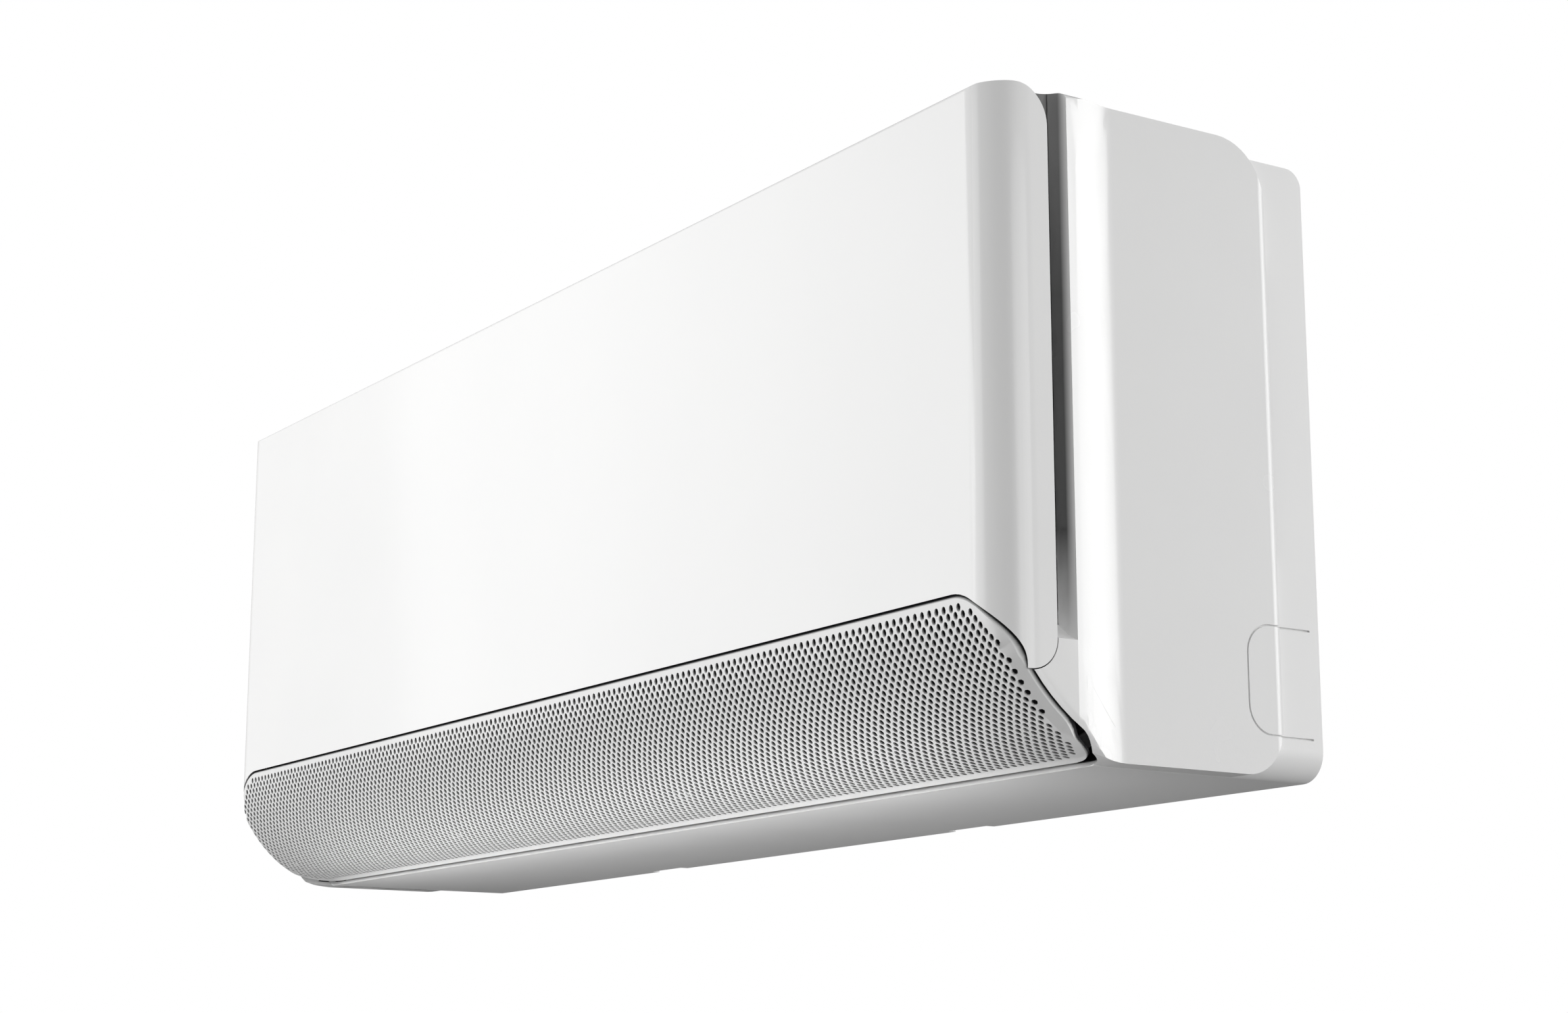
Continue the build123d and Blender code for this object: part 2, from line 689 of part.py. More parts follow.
def rear_chassis():
    """Rear housing: flange, back wall, underside with its lip, duct and scroll."""
    corners = ((-flange_depth, under), (0, under), (0, chassis_top), (-flange_depth, chassis_top))
    body = along_x(rounded(corners, (0, 0, chassis_corner, 0)), -chassis_side, chassis_side)
    inner = chassis_side - wall
    body &= along_y(chassis_outline(0), -flange_depth - 1, 1)
    room = block(-inner, inner, front, 1, under, chassis_top - wall)
    body -= along_y(chassis_outline(wall), -flange_depth - 1, 1) & room
    body += underside()
    body += block(-inner - 1, inner + 1, -back_wall_depth - wall, -back_wall_depth,
                  fan_z - 42, chassis_top - 1)
    x0, x1 = duct_left, duct_right
    body += along_x(duct_view(), x0 - wall, x1 + wall)
    body += along_x(end_wall_view(), x0 - wall, x0) + along_x(end_wall_view(), x1, x1 + wall)
    for x in rib_places:
        body += rib(x)
    for x in (x0 - wall, x1):
        body += end_bracket(x)
    body += rear_tray()
    body += rod_x(fan_y, fan_z, bearing_seat_radius + 4, x0 - bearing_length, x0)
    body -= rod_x(fan_y, fan_z, bearing_seat_radius + fit, x0 - bearing_length - 1, x0 + 1)
    body -= rod_x(fan_y, fan_z, 12, x1 - 1, x1 + wall + 1)
    body += motor_cradle()
    for x, q in screw_points():
        body += frame_post(x, q, 4.0, frame_back, frame_back + 22)
        body -= frame_post(x, q, 1.25 + fit, frame_back - 1, frame_back + 12)
    for x in vane_places + crank_places:
        body -= post(x, vane_pin_radius + fit, -wall - 1, 1)
    for x in hook_places:
        body -= block(x - 16, x + 16, -back_wall_depth - wall - 1, -back_wall_depth + 1,
                      hook_z - 7, hook_z + plate_sheet)
    for x in notch_places:
        body -= block(x - notch_width / 2, x + notch_width / 2, -notch_depth, 1,
                      under - 1, under + wall + 0.1)
    groove = along_x(knockout_groove(), chassis_side - wall * 0.6, chassis_side + 2)
    return body - both_sides(groove)


def end_bracket(x):
    """Plate that ties one of the duct's end walls to the back wall and the underside."""
    return web(x, x + wall) - along_x(end_wall_view(), x - 1, x + wall + 1)


def rear_tray():
    """Ledge under the rear coil that drains its water, and the wall below it."""
    x0, x1 = duct_left - wall, duct_right + wall
    tip = scroll_y + scroll_radius * cos(radians(scroll_end))
    tip_z = scroll_z + scroll_radius * sin(radians(scroll_end))
    lip = fan_y + 26
    body = block(x0, x1, lip, -back_wall_depth - 1, tray_z, tray_z + 2)
    body += block(x0, x1, lip - 2, lip, tray_z, tray_z + 5)
    return body + block(x0, x1, tip, tip + 2, tip_z - 0.8, tray_z + 1)


# ---- drain pan ------------------------------------------------------------
spigot_y = casing_front + wall + 11.5
spigot_z = spigot_y - root2 * duct_roof + 14.7
heel = outlet_point(duct_roof - wall, frame_back)
pan_tip = outlet_point(duct_roof - wall, tongue_depth)


def drain_pan():
    """Trough under the front coil whose sloping floor is also the duct's roof."""
    x0, x1 = duct_left - wall - 6, duct_right + wall + 14
    y0 = casing_front + wall + 1
    rim = heel[1] + 47.5
    toe = outlet_point(duct_roof - 1, frame_back + 4)
    tip = pan_tip
    floor = quad(duct_roof - wall, duct_roof, frame_back, tongue_depth)
    front_wall = make_face(Polyline((y0, rim), (y0 + 2, rim), (y0 + 2, heel[1] + 6.5), toe, heel,
                                    (y0, heel[1] + 4), close=True))
    lip = make_face(Polyline((tip[0] - 1, tip[1] - 2), (tip[0] + 1, tip[1]), (tip[0] + 1, tip[1] + 5),
                             (tip[0] - 1, tip[1] + 5), close=True))
    section = floor + front_wall + lip
    body = along_x(section, x0, x1)
    end = make_face(Polyline((y0, rim), (y0, heel[1] + 4), heel, tip, (tip[0], tip[1] + 5), close=True))
    body += along_x(end, x0, x0 + 2) + along_x(end, x1 - 2, x1)
    body += rod_x(spigot_y, spigot_z, spigot_radius, x1 - 1, x1 + 25)
    return body - rod_x(spigot_y, spigot_z, spigot_bore, x1 - 3, x1 + 26)


# ---- vanes ----------------------------------------------------------------
def vane_lever_shapes(x):
    """Hub, lever and slot of a vane or of its motor's crank."""
    reach = vane_lever * 1.078
    body = post(x, 4.0, link_slack, 9.0) + slab(x, -3.5, 3.5, 0, vane_lever + 5.0, 5.0, 6.5)
    half = link_pin_radius + link_slack
    slot = slab(x, -half, half, reach - 1.1, reach + 1.1, 4, 8)
    slot += post(x, half, 4, 8, reach - 1.1) + post(x, half, 4, 8, reach + 1.1)
    return body - slot


def vane(x):
    """Air vane: blade, hub, lever and the pin in the duct's floor."""
    body = vane_lever_shapes(x)
    body += slab(x, -0.75, 0.75, -vane_front, vane_back, 8.5, vane_height)
    return body + post(x, vane_pin_radius, -wall + 0.1, link_slack + 0.5)


def vane_crank(x):
    """Crank on a vane motor's shaft, which drives the link bar."""
    body = vane_lever_shapes(x)
    return body + post(x, vane_pin_radius, -wall - 5, link_slack + 0.5)


def vane_motor(x):
    """Small stepper motor under the duct's floor, with its two ears."""
    body = post(x, 10.0, -wall - 15, -wall) + slab(x, -16, 16, -3.5, 3.5, -wall - 1.5, -wall)
    return body - post(x, vane_pin_radius + fit, -wall - 6, 1)


def link_bar(first):
    """Bar that joins one bank's vanes, with a pin for each lever."""
    places = vane_places[first:first + vanes_per_bank]
    crank = crank_places[first // vanes_per_bank]
    mid = places[len(places) // 2]
    x0 = places[0] - mid - 8
    x1 = places[-1] - mid + 8
    body = slab(mid, x0, x1, vane_lever - 2.5, vane_lever + 2.5, 1.2, 4.2)
    for x in list(places) + [crank]:
        body += post(x, link_pin_radius, 4.0, 7.2, vane_lever)
    return body


# ---- fan, motor and bearing -----------------------------------------------
def blade_view(turn):
    """Section of one forward-curved blade."""
    def at(radius, angle):
        return (radius * cos(radians(angle + turn)), radius * sin(radians(angle + turn)))
    tip = fan_radius
    root = fan_radius - blade_depth
    bend = (tip + root) / 2
    thick = degrees(blade_wall / bend)
    return make_face([
        ThreePointArc(at(root, 0), at(bend, 3), at(tip, 13)),
        Line(at(tip, 13), at(tip, 13 + thick)),
        ThreePointArc(at(tip, 13 + thick), at(bend, 3 + thick), at(root, thick)),
        Line(at(root, thick), at(root, 0)),
    ])


def crossflow_fan():
    """Cross-flow fan: long curved blades between discs, on a shaft."""
    blades = [blade_view(i * 360 / fan_blades) for i in range(fan_blades)]
    view = Sketch() + blades
    axis = Pos(0, fan_y, fan_z)
    body = axis * along_x(view, fan_left + 1, fan_right - 1)
    span = (fan_right - fan_left - disc_wall) / fan_spans
    for i in range(fan_spans + 1):
        x = fan_left + i * span
        disc = rod_x(fan_y, fan_z, fan_radius - 0.4, x, x + disc_wall)
        if 0 < i < fan_spans:
            disc -= rod_x(fan_y, fan_z, fan_radius - blade_depth - 3, x - 1, x + disc_wall + 1)
        body += disc
    body += rod_x(fan_y, fan_z, 9, fan_left, fan_left + 8)
    body += rod_x(fan_y, fan_z, 9, fan_right - 12, fan_right)
    body += rod_x(fan_y, fan_z, shaft_radius, fan_left - fan_end_gap - bearing_length, fan_left + 1)
    return body + rod_x(fan_y, fan_z, shaft_radius, fan_right - 1, motor_left + 8)


def fan_motor():
    """Fan motor: drum with a boss, a bore for the shaft and a lead gland."""
    x1 = motor_left + motor_length
    body = rod_x(fan_y, fan_z, motor_radius, motor_left + 4, x1 - 4)
    body += rod_x(fan_y, fan_z, motor_radius - 3, motor_left, x1)
    body += rod_x(fan_y, fan_z, 14, motor_left - 4, motor_left + 1)
    body += rod_x(fan_y, fan_z, 10, x1 - 1, x1 + 3)
    body += Pos(x1 - 10, fan_y, fan_z + motor_radius - 2) * extrude(Circle(4), 7)
    return body - rod_x(fan_y, fan_z, shaft_radius + fit, motor_left - 5, motor_left + 9)


def motor_clamp():
    """Strap over the fan motor with a foot on each side of the cradle."""
    x0, x1 = motor_left + 13, motor_left + 37
    z = fan_z - 3
    strap = rod_x(fan_y, fan_z, motor_radius + 2.5, x0, x1) & block(x0, x1, front, 0, z, top)
    for y in (fan_y - motor_radius - 10, fan_y + motor_radius - 2):
        strap += block(x0, x1, y, y + 12 - (2 if y > fan_y else 0), z, z + 2.5)
    return strap - rod_x(fan_y, fan_z, motor_radius, x0 - 1, x1 + 1)


def fan_bearing():
    """Plain bearing of the fan's free end."""
    x0 = duct_left - bearing_length
    return rod_x(fan_y, fan_z, bearing_radius, x0, duct_left) - rod_x(
        fan_y, fan_z, shaft_radius + fit, x0 - 1, duct_left + 1)


def bearing_seat():
    """Rubber ring that holds the bearing in the chassis."""
    x0 = duct_left - bearing_length
    return rod_x(fan_y, fan_z, bearing_seat_radius, x0, duct_left) - rod_x(
        fan_y, fan_z, bearing_radius, x0 - 1, duct_left + 1)


# ---- coil -----------------------------------------------------------------
coil_front = front + 42.4
apex = (top + fan_z) / 2 + 42.5
coil_lines = (
    ((coil_front, pan_tip[1] + 8.8), (coil_front, apex - 62)),
    ((coil_front + 7, apex - 54), (-101.0, apex)),
    ((-79.0, apex), (-41.0, tray_z + 15)),
)


def coil_frame(index):
    """Middle, direction and outward normal of one coil bank in side view."""
    (y0, z0), (y1, z1) = coil_lines[index]
    length = sqrt((y1 - y0) ** 2 + (z1 - z0) ** 2)
    d = ((y1 - y0) / length, (z1 - z0) / length)
    n = (-d[1], d[0])
    return ((y0 + y1) / 2, (z0 + z1) / 2), d, n, length


def coil_point(index, t, outward):
    """Side-view point of a coil bank, along it and outward from its middle."""
    middle, d, n, length = coil_frame(index)
    return (middle[0] + t * d[0] + outward * n[0], middle[1] + t * d[1] + outward * n[1])


def coil_view(index, grow=0.0):
    """Side view of one coil bank."""
    length = coil_frame(index)[3]
    t, n = length / 2 + grow, coil_depth / 2 + grow
    corners = [coil_point(index, *p) for p in ((-t, -n), (t, -n), (t, n), (-t, n))]
    return make_face(Polyline(*corners, close=True))


def tube_points(index):
    """Tube places of one bank in the order in which the liquid passes them."""
    inner, outer = -tube_rows / 2, tube_rows / 2
    order = ((-1, inner), (-1, outer), (0, outer), (0, inner), (1, inner), (1, outer))
    return [coil_point(index, t * tube_pitch, row) for t, row in order]


def tube_holes(index, x0, x1, radius):
    """Rods through every tube place of one bank."""
    holes = Part()
    for y, z in tube_points(index):
        holes += rod_x(y, z, radius, x0, x1)
    return holes


def coil(index):
    """One bank of the coil, with its tube holes."""
    return along_x(coil_view(index), coil_left, coil_right) - tube_holes(
        index, coil_left - 1, coil_right + 1, tube_radius + fit)


def coil_end_plate(x0):
    """Sheet that holds the three banks together at one end."""
    view = coil_view(0, 3) + coil_view(1, 3) + coil_view(2, 3)
    plate = along_x(view, x0, x0 + 1.5)
    for index in range(3):
        plate -= tube_holes(index, x0 - 1, x0 + 3, tube_radius + fit)
    return plate


def bent_pipe(points, radius, bend):
    """Round pipe along straight runs joined by bends."""
    path = FilletPolyline(*points, radius=bend)
    start = Plane(origin=path @ 0, z_dir=path % 0)
    return sweep(start * Circle(radius), path=path)


def coil_tubes():
    """Copper tubes of the three banks and the two collectors at their right-hand ends."""
    left = coil_left - 8
    right = coil_right + 8
    inlet_x, outlet_x = coil_right + 17, coil_right + 26
    body = Part()
    for index in range(3):
        a0, b0, b1, a1, a2, b2 = [(y, z) for y, z in tube_points(index)]
        points = [(inlet_x, *a0), (left, *a0), (left, *b0), (right, *b0), (right, *b1), (left, *b1),
                  (left, *a1), (right, *a1), (right, *a2), (left, *a2), (left, *b2), (outlet_x, *b2)]
        body += bent_pipe(points, tube_radius, tube_rows / 2 - 0.1)
    for place, x in ((0, inlet_x), (5, outlet_x)):
        points = [(x, *tube_points(index)[place]) for index in range(3)]
        body += bent_pipe(points, tube_radius, 6)
        y, z = points[-1][1], points[-1][2]
        body += rod_x(y, z, tube_radius, x - 1, x + 5)
    return body


def gas_pipe():
    """Gas pipe from the collector down and along the channel behind the duct."""
    y, z = tube_points(2)[5]
    x = coil_right + 31
    points = [(x, y, z), (x + 12, y, z), (x + 12, pipe_y, z - 16), (x + 12, pipe_y, gas_z),
              (pipe_end, pipe_y, gas_z)]
    return bent_pipe(points, gas_radius, 10)


def liquid_pipe():
    """Liquid pipe from the collector down and along the channel behind the duct."""
    y, z = tube_points(2)[0]
    x = coil_right + 22
    points = [(x, y, z), (x + 9, y, z), (x + 9, liquid_y, z), (x + 9, liquid_y, liquid_z),
              (pipe_end, liquid_y, liquid_z)]
    return bent_pipe(points, liquid_radius, 8)


def union(y, z, pipe, size):
    """Flare union: hexagon, body and spigot."""
    hexagon = RegularPolygon(size, 6, major_radius=False)
    body = Pos(pipe_end - 20, y, z) * extrude(Plane.YZ * hexagon, 16)
    body += rod_x(y, z, pipe + 3, pipe_end - 6, pipe_end)
    return body + rod_x(y, z, size - 2.5, pipe_end - 38, pipe_end - 19)


def pipe_clip():
    """Block on the chassis that holds the two pipes."""
    x0, x1 = 110.0, 122.0
    body = block(x0, x1, liquid_y - 8, pipe_y + 9, under + wall, gas_z + 9)
    body -= rod_x(pipe_y, gas_z, gas_radius, x0 - 1, x1 + 1)
    return body - rod_x(liquid_y, liquid_z, liquid_radius, x0 - 1, x1 + 1)


# ---- filters --------------------------------------------------------------
def air_filter(x0, x1):
    """Filter: frame, cross bars and a thin mesh sheet."""
    x0, x1 = x0 + play, x1 - play
    y0, y1 = filter_front + play, filter_rear - play
    z0 = top - filter_drop - filter_height
    z1 = top - filter_drop
    body = block(x0, x1, y0, y1, z0, z1) - block(x0 + 6, x1 - 6, y0 + 6, y1 - 6, z0 - 1, z1 + 1)
    count = 5
    pitch = (x1 - x0) / count
    for i in range(1, count):
        body += block(x0 + i * pitch - 1.5, x0 + i * pitch + 1.5, y0 + 3, y1 - 3, z0, z1 - 1)
    body += block(x0 + 3, x1 - 3, (y0 + y1) / 2 - 1.5, (y0 + y1) / 2 + 1.5, z0, z1 - 1)
    return body + block(x0 + 3, x1 - 3, y0 + 3, y1 - 3, z0 + 0.8, z0 + 1.6)


# ---- controls -------------------------------------------------------------
def control_box():
    """Tray on the right-hand side that holds the electronics."""
    body = block(box_x0, box_x1, box_y0, box_y1, box_z0, box_z1)
    body -= block(box_x0 + 2, box_x1 + 1, box_y0 + 2, box_y1 - 2, box_z0 + 2, box_z1 - 2)
    for y in (box_y0 + 15, box_y1 - 15):
        for z in (box_z0 + 15, box_z1 - 15):
            body += Pos(box_x0 + 1, y, z) * Rot(0, 90, 0) * extrude(Circle(3), 6)
    return body + block(box_x0 + 6, box_x1 - 4, box_y1 - 1, -back_wall_depth - wall,
                        box_z0 + 20, box_z0 + 24)


def control_cover():
    """Lid of the control box."""
    return block(box_x1, box_x1 + 1.5, box_y0, box_y1, box_z0, box_z1) + block(
        box_x1 - 3, box_x1 + 0.5, box_y0 + 2, box_y1 - 2, box_z1 - 4, box_z1 - 2)


def circuit_board():
    """Board with its largest components."""
    x = box_x0 + 7
    body = block(x, x + 1.6, box_y0 + 6, box_y1 - 6, box_z0 + 6, box_z1 - 6)
    body += block(x + 1, x + 15, box_y0 + 20, box_y0 + 42, box_z0 + 90, box_z0 + 118)
    body += block(x + 1, x + 12, box_y0 + 55, box_y0 + 71, box_z0 + 100, box_z0 + 118)
    for z in (30, 50):
        body += Pos(x + 1, box_y0 + 30, box_z0 + z) * Rot(0, 90, 0) * extrude(Circle(6), 15)
    return body


def terminal_block():
    """Row of terminals on the board's lower edge."""
    x = box_x0 + 8.6
    body = block(x, x + 12, box_y0 + 48, box_y1 - 12, box_z0 + 12, box_z0 + 30)
    pitch = (box_y1 - box_y0 - 64) / 4
    for i in range(4):
        y = box_y0 + 52 + i * pitch
        body -= block(x + 5, x + 13, y, y + pitch - 3, box_z0 + 14, box_z0 + 31)
    return body


def display_board():
    """Display behind its window in the casing's front wall."""
    y = casing_front + wall
    half_w, half_h = display_width / 2, display_height / 2
    body = block(display_x - half_w - 3, display_x + half_w + 3, y, y + 2,
                 display_z - half_h - 3, display_z + half_h + 3)
    return body + block(display_x - half_w + play, display_x + half_w - play, y - 2, y + 0.5,
                        display_z - half_h + play, display_z + half_h - play)


def emergency_button():
    """Push button beside the display, with a collar behind the wall."""
    face = Pos(button_x, button_z) * Circle(button_radius)
    collar = Pos(button_x, button_z) * Circle(button_radius + 2)
    y = casing_front + wall
    return along_y(face, casing_front - 2, y + 1) + along_y(collar, y, y + 1.5)


def room_sensor():
    """Bulb that feels the room's air, on its holder at the right-hand coil plate."""
    x = coil_right + 1.5
    y, z = coil_point(0, tube_pitch / 2, tube_rows / 2)
    body = block(x, x + 3, y - 3, y + 3, z - 3, z + 3)
    return body + rod_x(y, z, 2.5, x + 2, x + 10)


# ---- wall plate -----------------------------------------------------------
def wall_plate():
    """Pressed plate that is screwed to the wall, with hooks for the chassis."""
    low = -plate_height / 2
    body = block(-plate_width / 2, plate_width / 2, -plate_sheet, 0, low, low + plate_height)
    for x in hook_places:
        reach = back_wall_depth + wall + 2
        body += block(x - 14, x + 14, -reach, -0.5, hook_z, hook_z + plate_sheet)
        body += block(x - 14, x + 14, -reach, -reach + plate_sheet, hook_z, hook_z + 7)
    for x in (-1, 1):
        for z in (-1, 1):
            hole = Pos(x * screw_spacing_x / 2, z * screw_spacing_z / 2) * Circle(screw_hole_radius)
            body -= along_y(hole, -3, 1)
    return body


# ---- export ---------------------------------------------------------------
def build_parts():
    """Every piece of the unit under its own name."""
    parts = {
        "wall_plate": wall_plate(),
        "rear_chassis": rear_chassis(),
        "casing": casing(),
        "front_panel": front_panel(),
        "louver": louver(),
        "outlet_frame": outlet_frame(),
        "louver_motor": louver_motor(),
        "frame_screws": frame_screws(),
        "drain_pan": drain_pan(),
        "crossflow_fan": crossflow_fan(),
        "fan_motor": fan_motor(),
        "motor_clamp": motor_clamp(),
        "fan_bearing": fan_bearing(),
        "bearing_seat": bearing_seat(),
        "front_coil": coil(0),
        "upper_coil": coil(1),
        "rear_coil": coil(2),
        "coil_end_plate_left": coil_end_plate(coil_left - 1.5),
        "coil_end_plate_right": coil_end_plate(coil_right),
        "coil_tubes": coil_tubes(),
        "gas_pipe": gas_pipe(),
        "liquid_pipe": liquid_pipe(),
        "gas_union": union(pipe_y, gas_z, gas_radius, 11.0),
        "liquid_union": union(liquid_y, liquid_z, liquid_radius, 8.5),
        "pipe_clip": pipe_clip(),
        "filter_left": air_filter(*filter_edges[0]),
        "filter_right": air_filter(*filter_edges[1]),
        "control_box": control_box(),
        "control_cover": control_cover(),
        "circuit_board": circuit_board(),
        "terminal_block": terminal_block(),
        "display_board": display_board(),
        "emergency_button": emergency_button(),
        "room_sensor": room_sensor(),
        "link_bar_left": link_bar(0),
        "link_bar_right": link_bar(vanes_per_bank),
        "vane_crank_left": vane_crank(crank_places[0]),
        "vane_crank_right": vane_crank(crank_places[1]),
        "vane_motor_left": vane_motor(crank_places[0]),
        "vane_motor_right": vane_motor(crank_places[1]),
    }
    for i, x in enumerate(vane_places):
        parts["vane_" + str(i + 1)] = vane(x)
    return parts


os.makedirs("parts", exist_ok=True)
for name, shape in build_parts().items():
    export_step(shape, "parts/" + name + ".step")
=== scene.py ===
import json
import math

import bmesh
import bpy
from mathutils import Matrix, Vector

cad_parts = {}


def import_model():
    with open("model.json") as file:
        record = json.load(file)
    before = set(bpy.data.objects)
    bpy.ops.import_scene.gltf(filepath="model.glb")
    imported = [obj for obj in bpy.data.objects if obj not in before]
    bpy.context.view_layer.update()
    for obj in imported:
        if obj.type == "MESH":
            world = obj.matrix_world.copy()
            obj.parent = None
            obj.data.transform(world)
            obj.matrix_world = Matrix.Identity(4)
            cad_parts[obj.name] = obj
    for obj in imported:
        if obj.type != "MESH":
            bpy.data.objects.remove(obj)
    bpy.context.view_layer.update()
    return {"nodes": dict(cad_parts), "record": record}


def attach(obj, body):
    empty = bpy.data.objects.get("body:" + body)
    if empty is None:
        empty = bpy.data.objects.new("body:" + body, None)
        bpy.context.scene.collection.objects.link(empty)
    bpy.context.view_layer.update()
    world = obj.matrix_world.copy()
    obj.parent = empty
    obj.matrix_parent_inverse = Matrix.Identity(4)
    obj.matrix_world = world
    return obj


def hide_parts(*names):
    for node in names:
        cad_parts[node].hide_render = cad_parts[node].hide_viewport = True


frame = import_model()

# ---- sizes in millimetres: -Y is the front, +Z is up, the wall is at y = 0 ------
MM = 0.001
ROOT2 = math.sqrt(2)
WIDTH, HEIGHT, DEPTH = 836.0, 298.0, 190.4
WALL = 2.5                              # moulded wall of the housings
HALF, TOP, UNDER, FRONT = WIDTH / 2, HEIGHT / 2, -HEIGHT / 2, -DEPTH

# panel and casing
PANEL_CORNER = 21.0                     # plan radius of the panel's corners
WING_REAR = FRONT + 30.2                # rear edge of the panel's wings
NOSE = WING_REAR + 11.0                 # casing's front edge, behind the groove
CASING_FRONT = FRONT + 18.0             # casing's front wall, behind the panel
SIDE, NECK = HALF - 6.0, HALF - 9.0     # casing's flat side and the groove's bottom
STEP_Y = -26.7                          # rear edge of the flat side
CASING_INNER = SIDE - WALL
FLARE_LENGTH, FLARE_REACH = 31.0, 12.4  # flared front edge, and its curve's two handles
CHASSIS_DROP = 7.0                      # chassis top below the casing's top
CHASSIS_WALL_FRONT = -12.0              # front of the chassis back wall

# curved lower front, in side view
BODY_ARC, LOUVER_ARC = 72.5, 70.0       # radii of the body and of the louver's outer face
BODY_Y, LOUVER_Y, ARC_Z = FRONT + BODY_ARC, FRONT + LOUVER_ARC, UNDER + BODY_ARC
END_R, END_SWING = 12.0, 30.0           # round edge to the sides, and how far back its ring's centre lies
END_Y, END_Z = BODY_Y + END_SWING / ROOT2, ARC_Z + END_SWING / ROOT2
END_ARC = BODY_ARC + END_SWING - END_R  # ring on which that edge's centres lie

# outlet and louver: "across" runs down and back over the outlet at 45 degrees
OPEN_X, OPEN_TOP, OPEN_LOW = HALF - 1.0, -79.6, 16.3
GAP = 1.3                               # louver to outlet
LOUVER_X, LOUVER_TOP, LOUVER_LOW, LOUVER_R = OPEN_X - GAP, -78.3, 15.0, 32.7
LOUVER_WALL = 2.0
OUTLINE_STEP = 2.8                      # spacing of the points along the louver's edge
CORNER_BLEND, END_BLEND = 1.5, 1.0      # rounding where the louver's curved faces meet
PITCH, HOLE, HOLE_SIDES = 5.31, 1.52, 8
ROWS, FIRST_ROW = 32, -75.0
HOLE_X, HOLE_CORNER = 413.3, 383.0      # outermost holes, and where the border's corners start
HOLE_TOP, HOLE_TOP_R = -45.3, 30.6
HOLE_LOW, HOLE_LOW_R, HOLE_LOW_DROP = -19.5, 27.6, 1.5

# louver's lugs
PIVOT_ACROSS, PIVOT_SINK = -16.0, 9.0   # pivot's place, and its depth under the louver's face
LUGS = ((-396.0, (-1, 1)), (-157.0, (-1, 1)), (103.0, (-1, 1)), (396.0, (-1,)))
PIN_R, PIN_REACH = 2.5, 5.0
LUG_R, LUG_INNER, LUG_OUTER = 4.0, 2.4, 5.4
LUG_DEPTH = 7.8

# cheeks
CHEEK_SINK, CHEEK_WALL = 0.04, 0.86     # under the casing's face, and thickness
FLARE_FROM, FLARE_TO = 0.14, 0.90       # shares of the flare's curve that the cheek covers
CHEEK_LOWEST, CHEEK_TOP = -140.0, -112.0
CHEEK_INSET = 1.2                       # cheek's lower edge above the round edge's ring
NECK_SPAN = (CASING_FRONT + 0.1, WING_REAR - 0.2)
NECK_RISE = (-111.0, -45.0)

# where the painted shade on the plastic starts: the outlet's edge, its end parts and the groove
DARK_EDGE, DARK_SOFT, DARK_FADE = 0.4, 0.3, 4.0
DARK_FORWARD = 25.0                     # for faces that look out of the outlet or sideways
DARK_BACK = CHASSIS_WALL_FRONT - 4.0
DARK_UPPER, DARK_LOWER = (-20.0, 2.2), (12.0, 7.0)      # places across and depths
END_SPAN = (350.0, 400.0)
END_UPPER, END_LOWER = (-15.0, 0.0), (12.0, 45.0)       # places across and added depths
INNER_SKIN = 2.1                        # under the casing's outer faces
INNER_REAR = -27.5
GROOVE_DEPTH = (0.4, 3.5)               # depths inside the panel's side where the groove's painted shade starts and where it is full
# painted light in the groove's painted shade: lighter towards the top and down its lower sweep
GROOVE_TOP_LIGHT, GROOVE_LOW_LIGHT = 55.0, (-101.0, -50.0)
FLARE_SWELL, REAR_SWELL = (12.0, 1.1), (3.5, 0.9)       # lengths and heights

# inner pieces
FIN_PITCH = 1.6
FILTER_LOW = TOP - 1.0 - 5.0            # filter's drop below the top, and its height
SHEET_LOW, SHEET_HIGH = FILTER_LOW + 0.7, FILTER_LOW + 1.7

# joined corners and edge radii of carried-over nodes
CORNER_JOIN = 0.004
SOFT_ANGLE, BEVEL_ANGLE, FLAT_ANGLE = 28, 40, 0.6
BEVELS = {"casing": 0.7, "front_panel": 1.1, "rear_chassis": 0.8}

# camera
LENS, SENSOR = 63.997, 36.0
CAMERA_PLACE = (1333.9, -897.7, -294.2)
CAMERA_PITCH, CAMERA_HEADING = 12.183, 33.161


# ---- shader graphs ----------------------------------------------------------
class Value:
    """A node's output socket that takes part in ordinary sums."""

    def __init__(self, graph, socket):
        self.graph = graph
        self.socket = socket

    def math(self, operation, *others):
        return self.graph.node("ShaderNodeMath", {"operation": operation}, *others)

    def __add__(self, other):
        return self.math("ADD", self, other)

    def __sub__(self, other):
        return self.math("SUBTRACT", self, other)

    def __mul__(self, other):
        return self.math("MULTIPLY", self, other)

    def __truediv__(self, other):
        return self.math("DIVIDE", self, other)

    def __rsub__(self, other):
        return self.math("SUBTRACT", other, self)

    def __rtruediv__(self, other):
        return self.math("DIVIDE", other, self)

    __radd__ = __add__
    __rmul__ = __mul__

    def power(self, other):
        return self.math("POWER", self, other)

    def sine(self):
        return self.math("SINE", self)

    def absolute(self):
        return self.math("ABSOLUTE", self)

    def root(self):
        return self.math("SQRT", self)

    def least(self, other):
        return self.math("MINIMUM", self, other)

    def most(self, other):
        return self.math("MAXIMUM", self, other)

    def above(self, other):
        return self.math("GREATER_THAN", self, other)

    def sign(self):
        return self.math("SIGN", self)

    def spread(self, low, high, out_low=0.0, out_high=1.0):
        """The value's span from low to high, mapped to another span and held inside it."""
        return self.graph.node("ShaderNodeMapRange", {}, self, low, high, out_low, out_high)


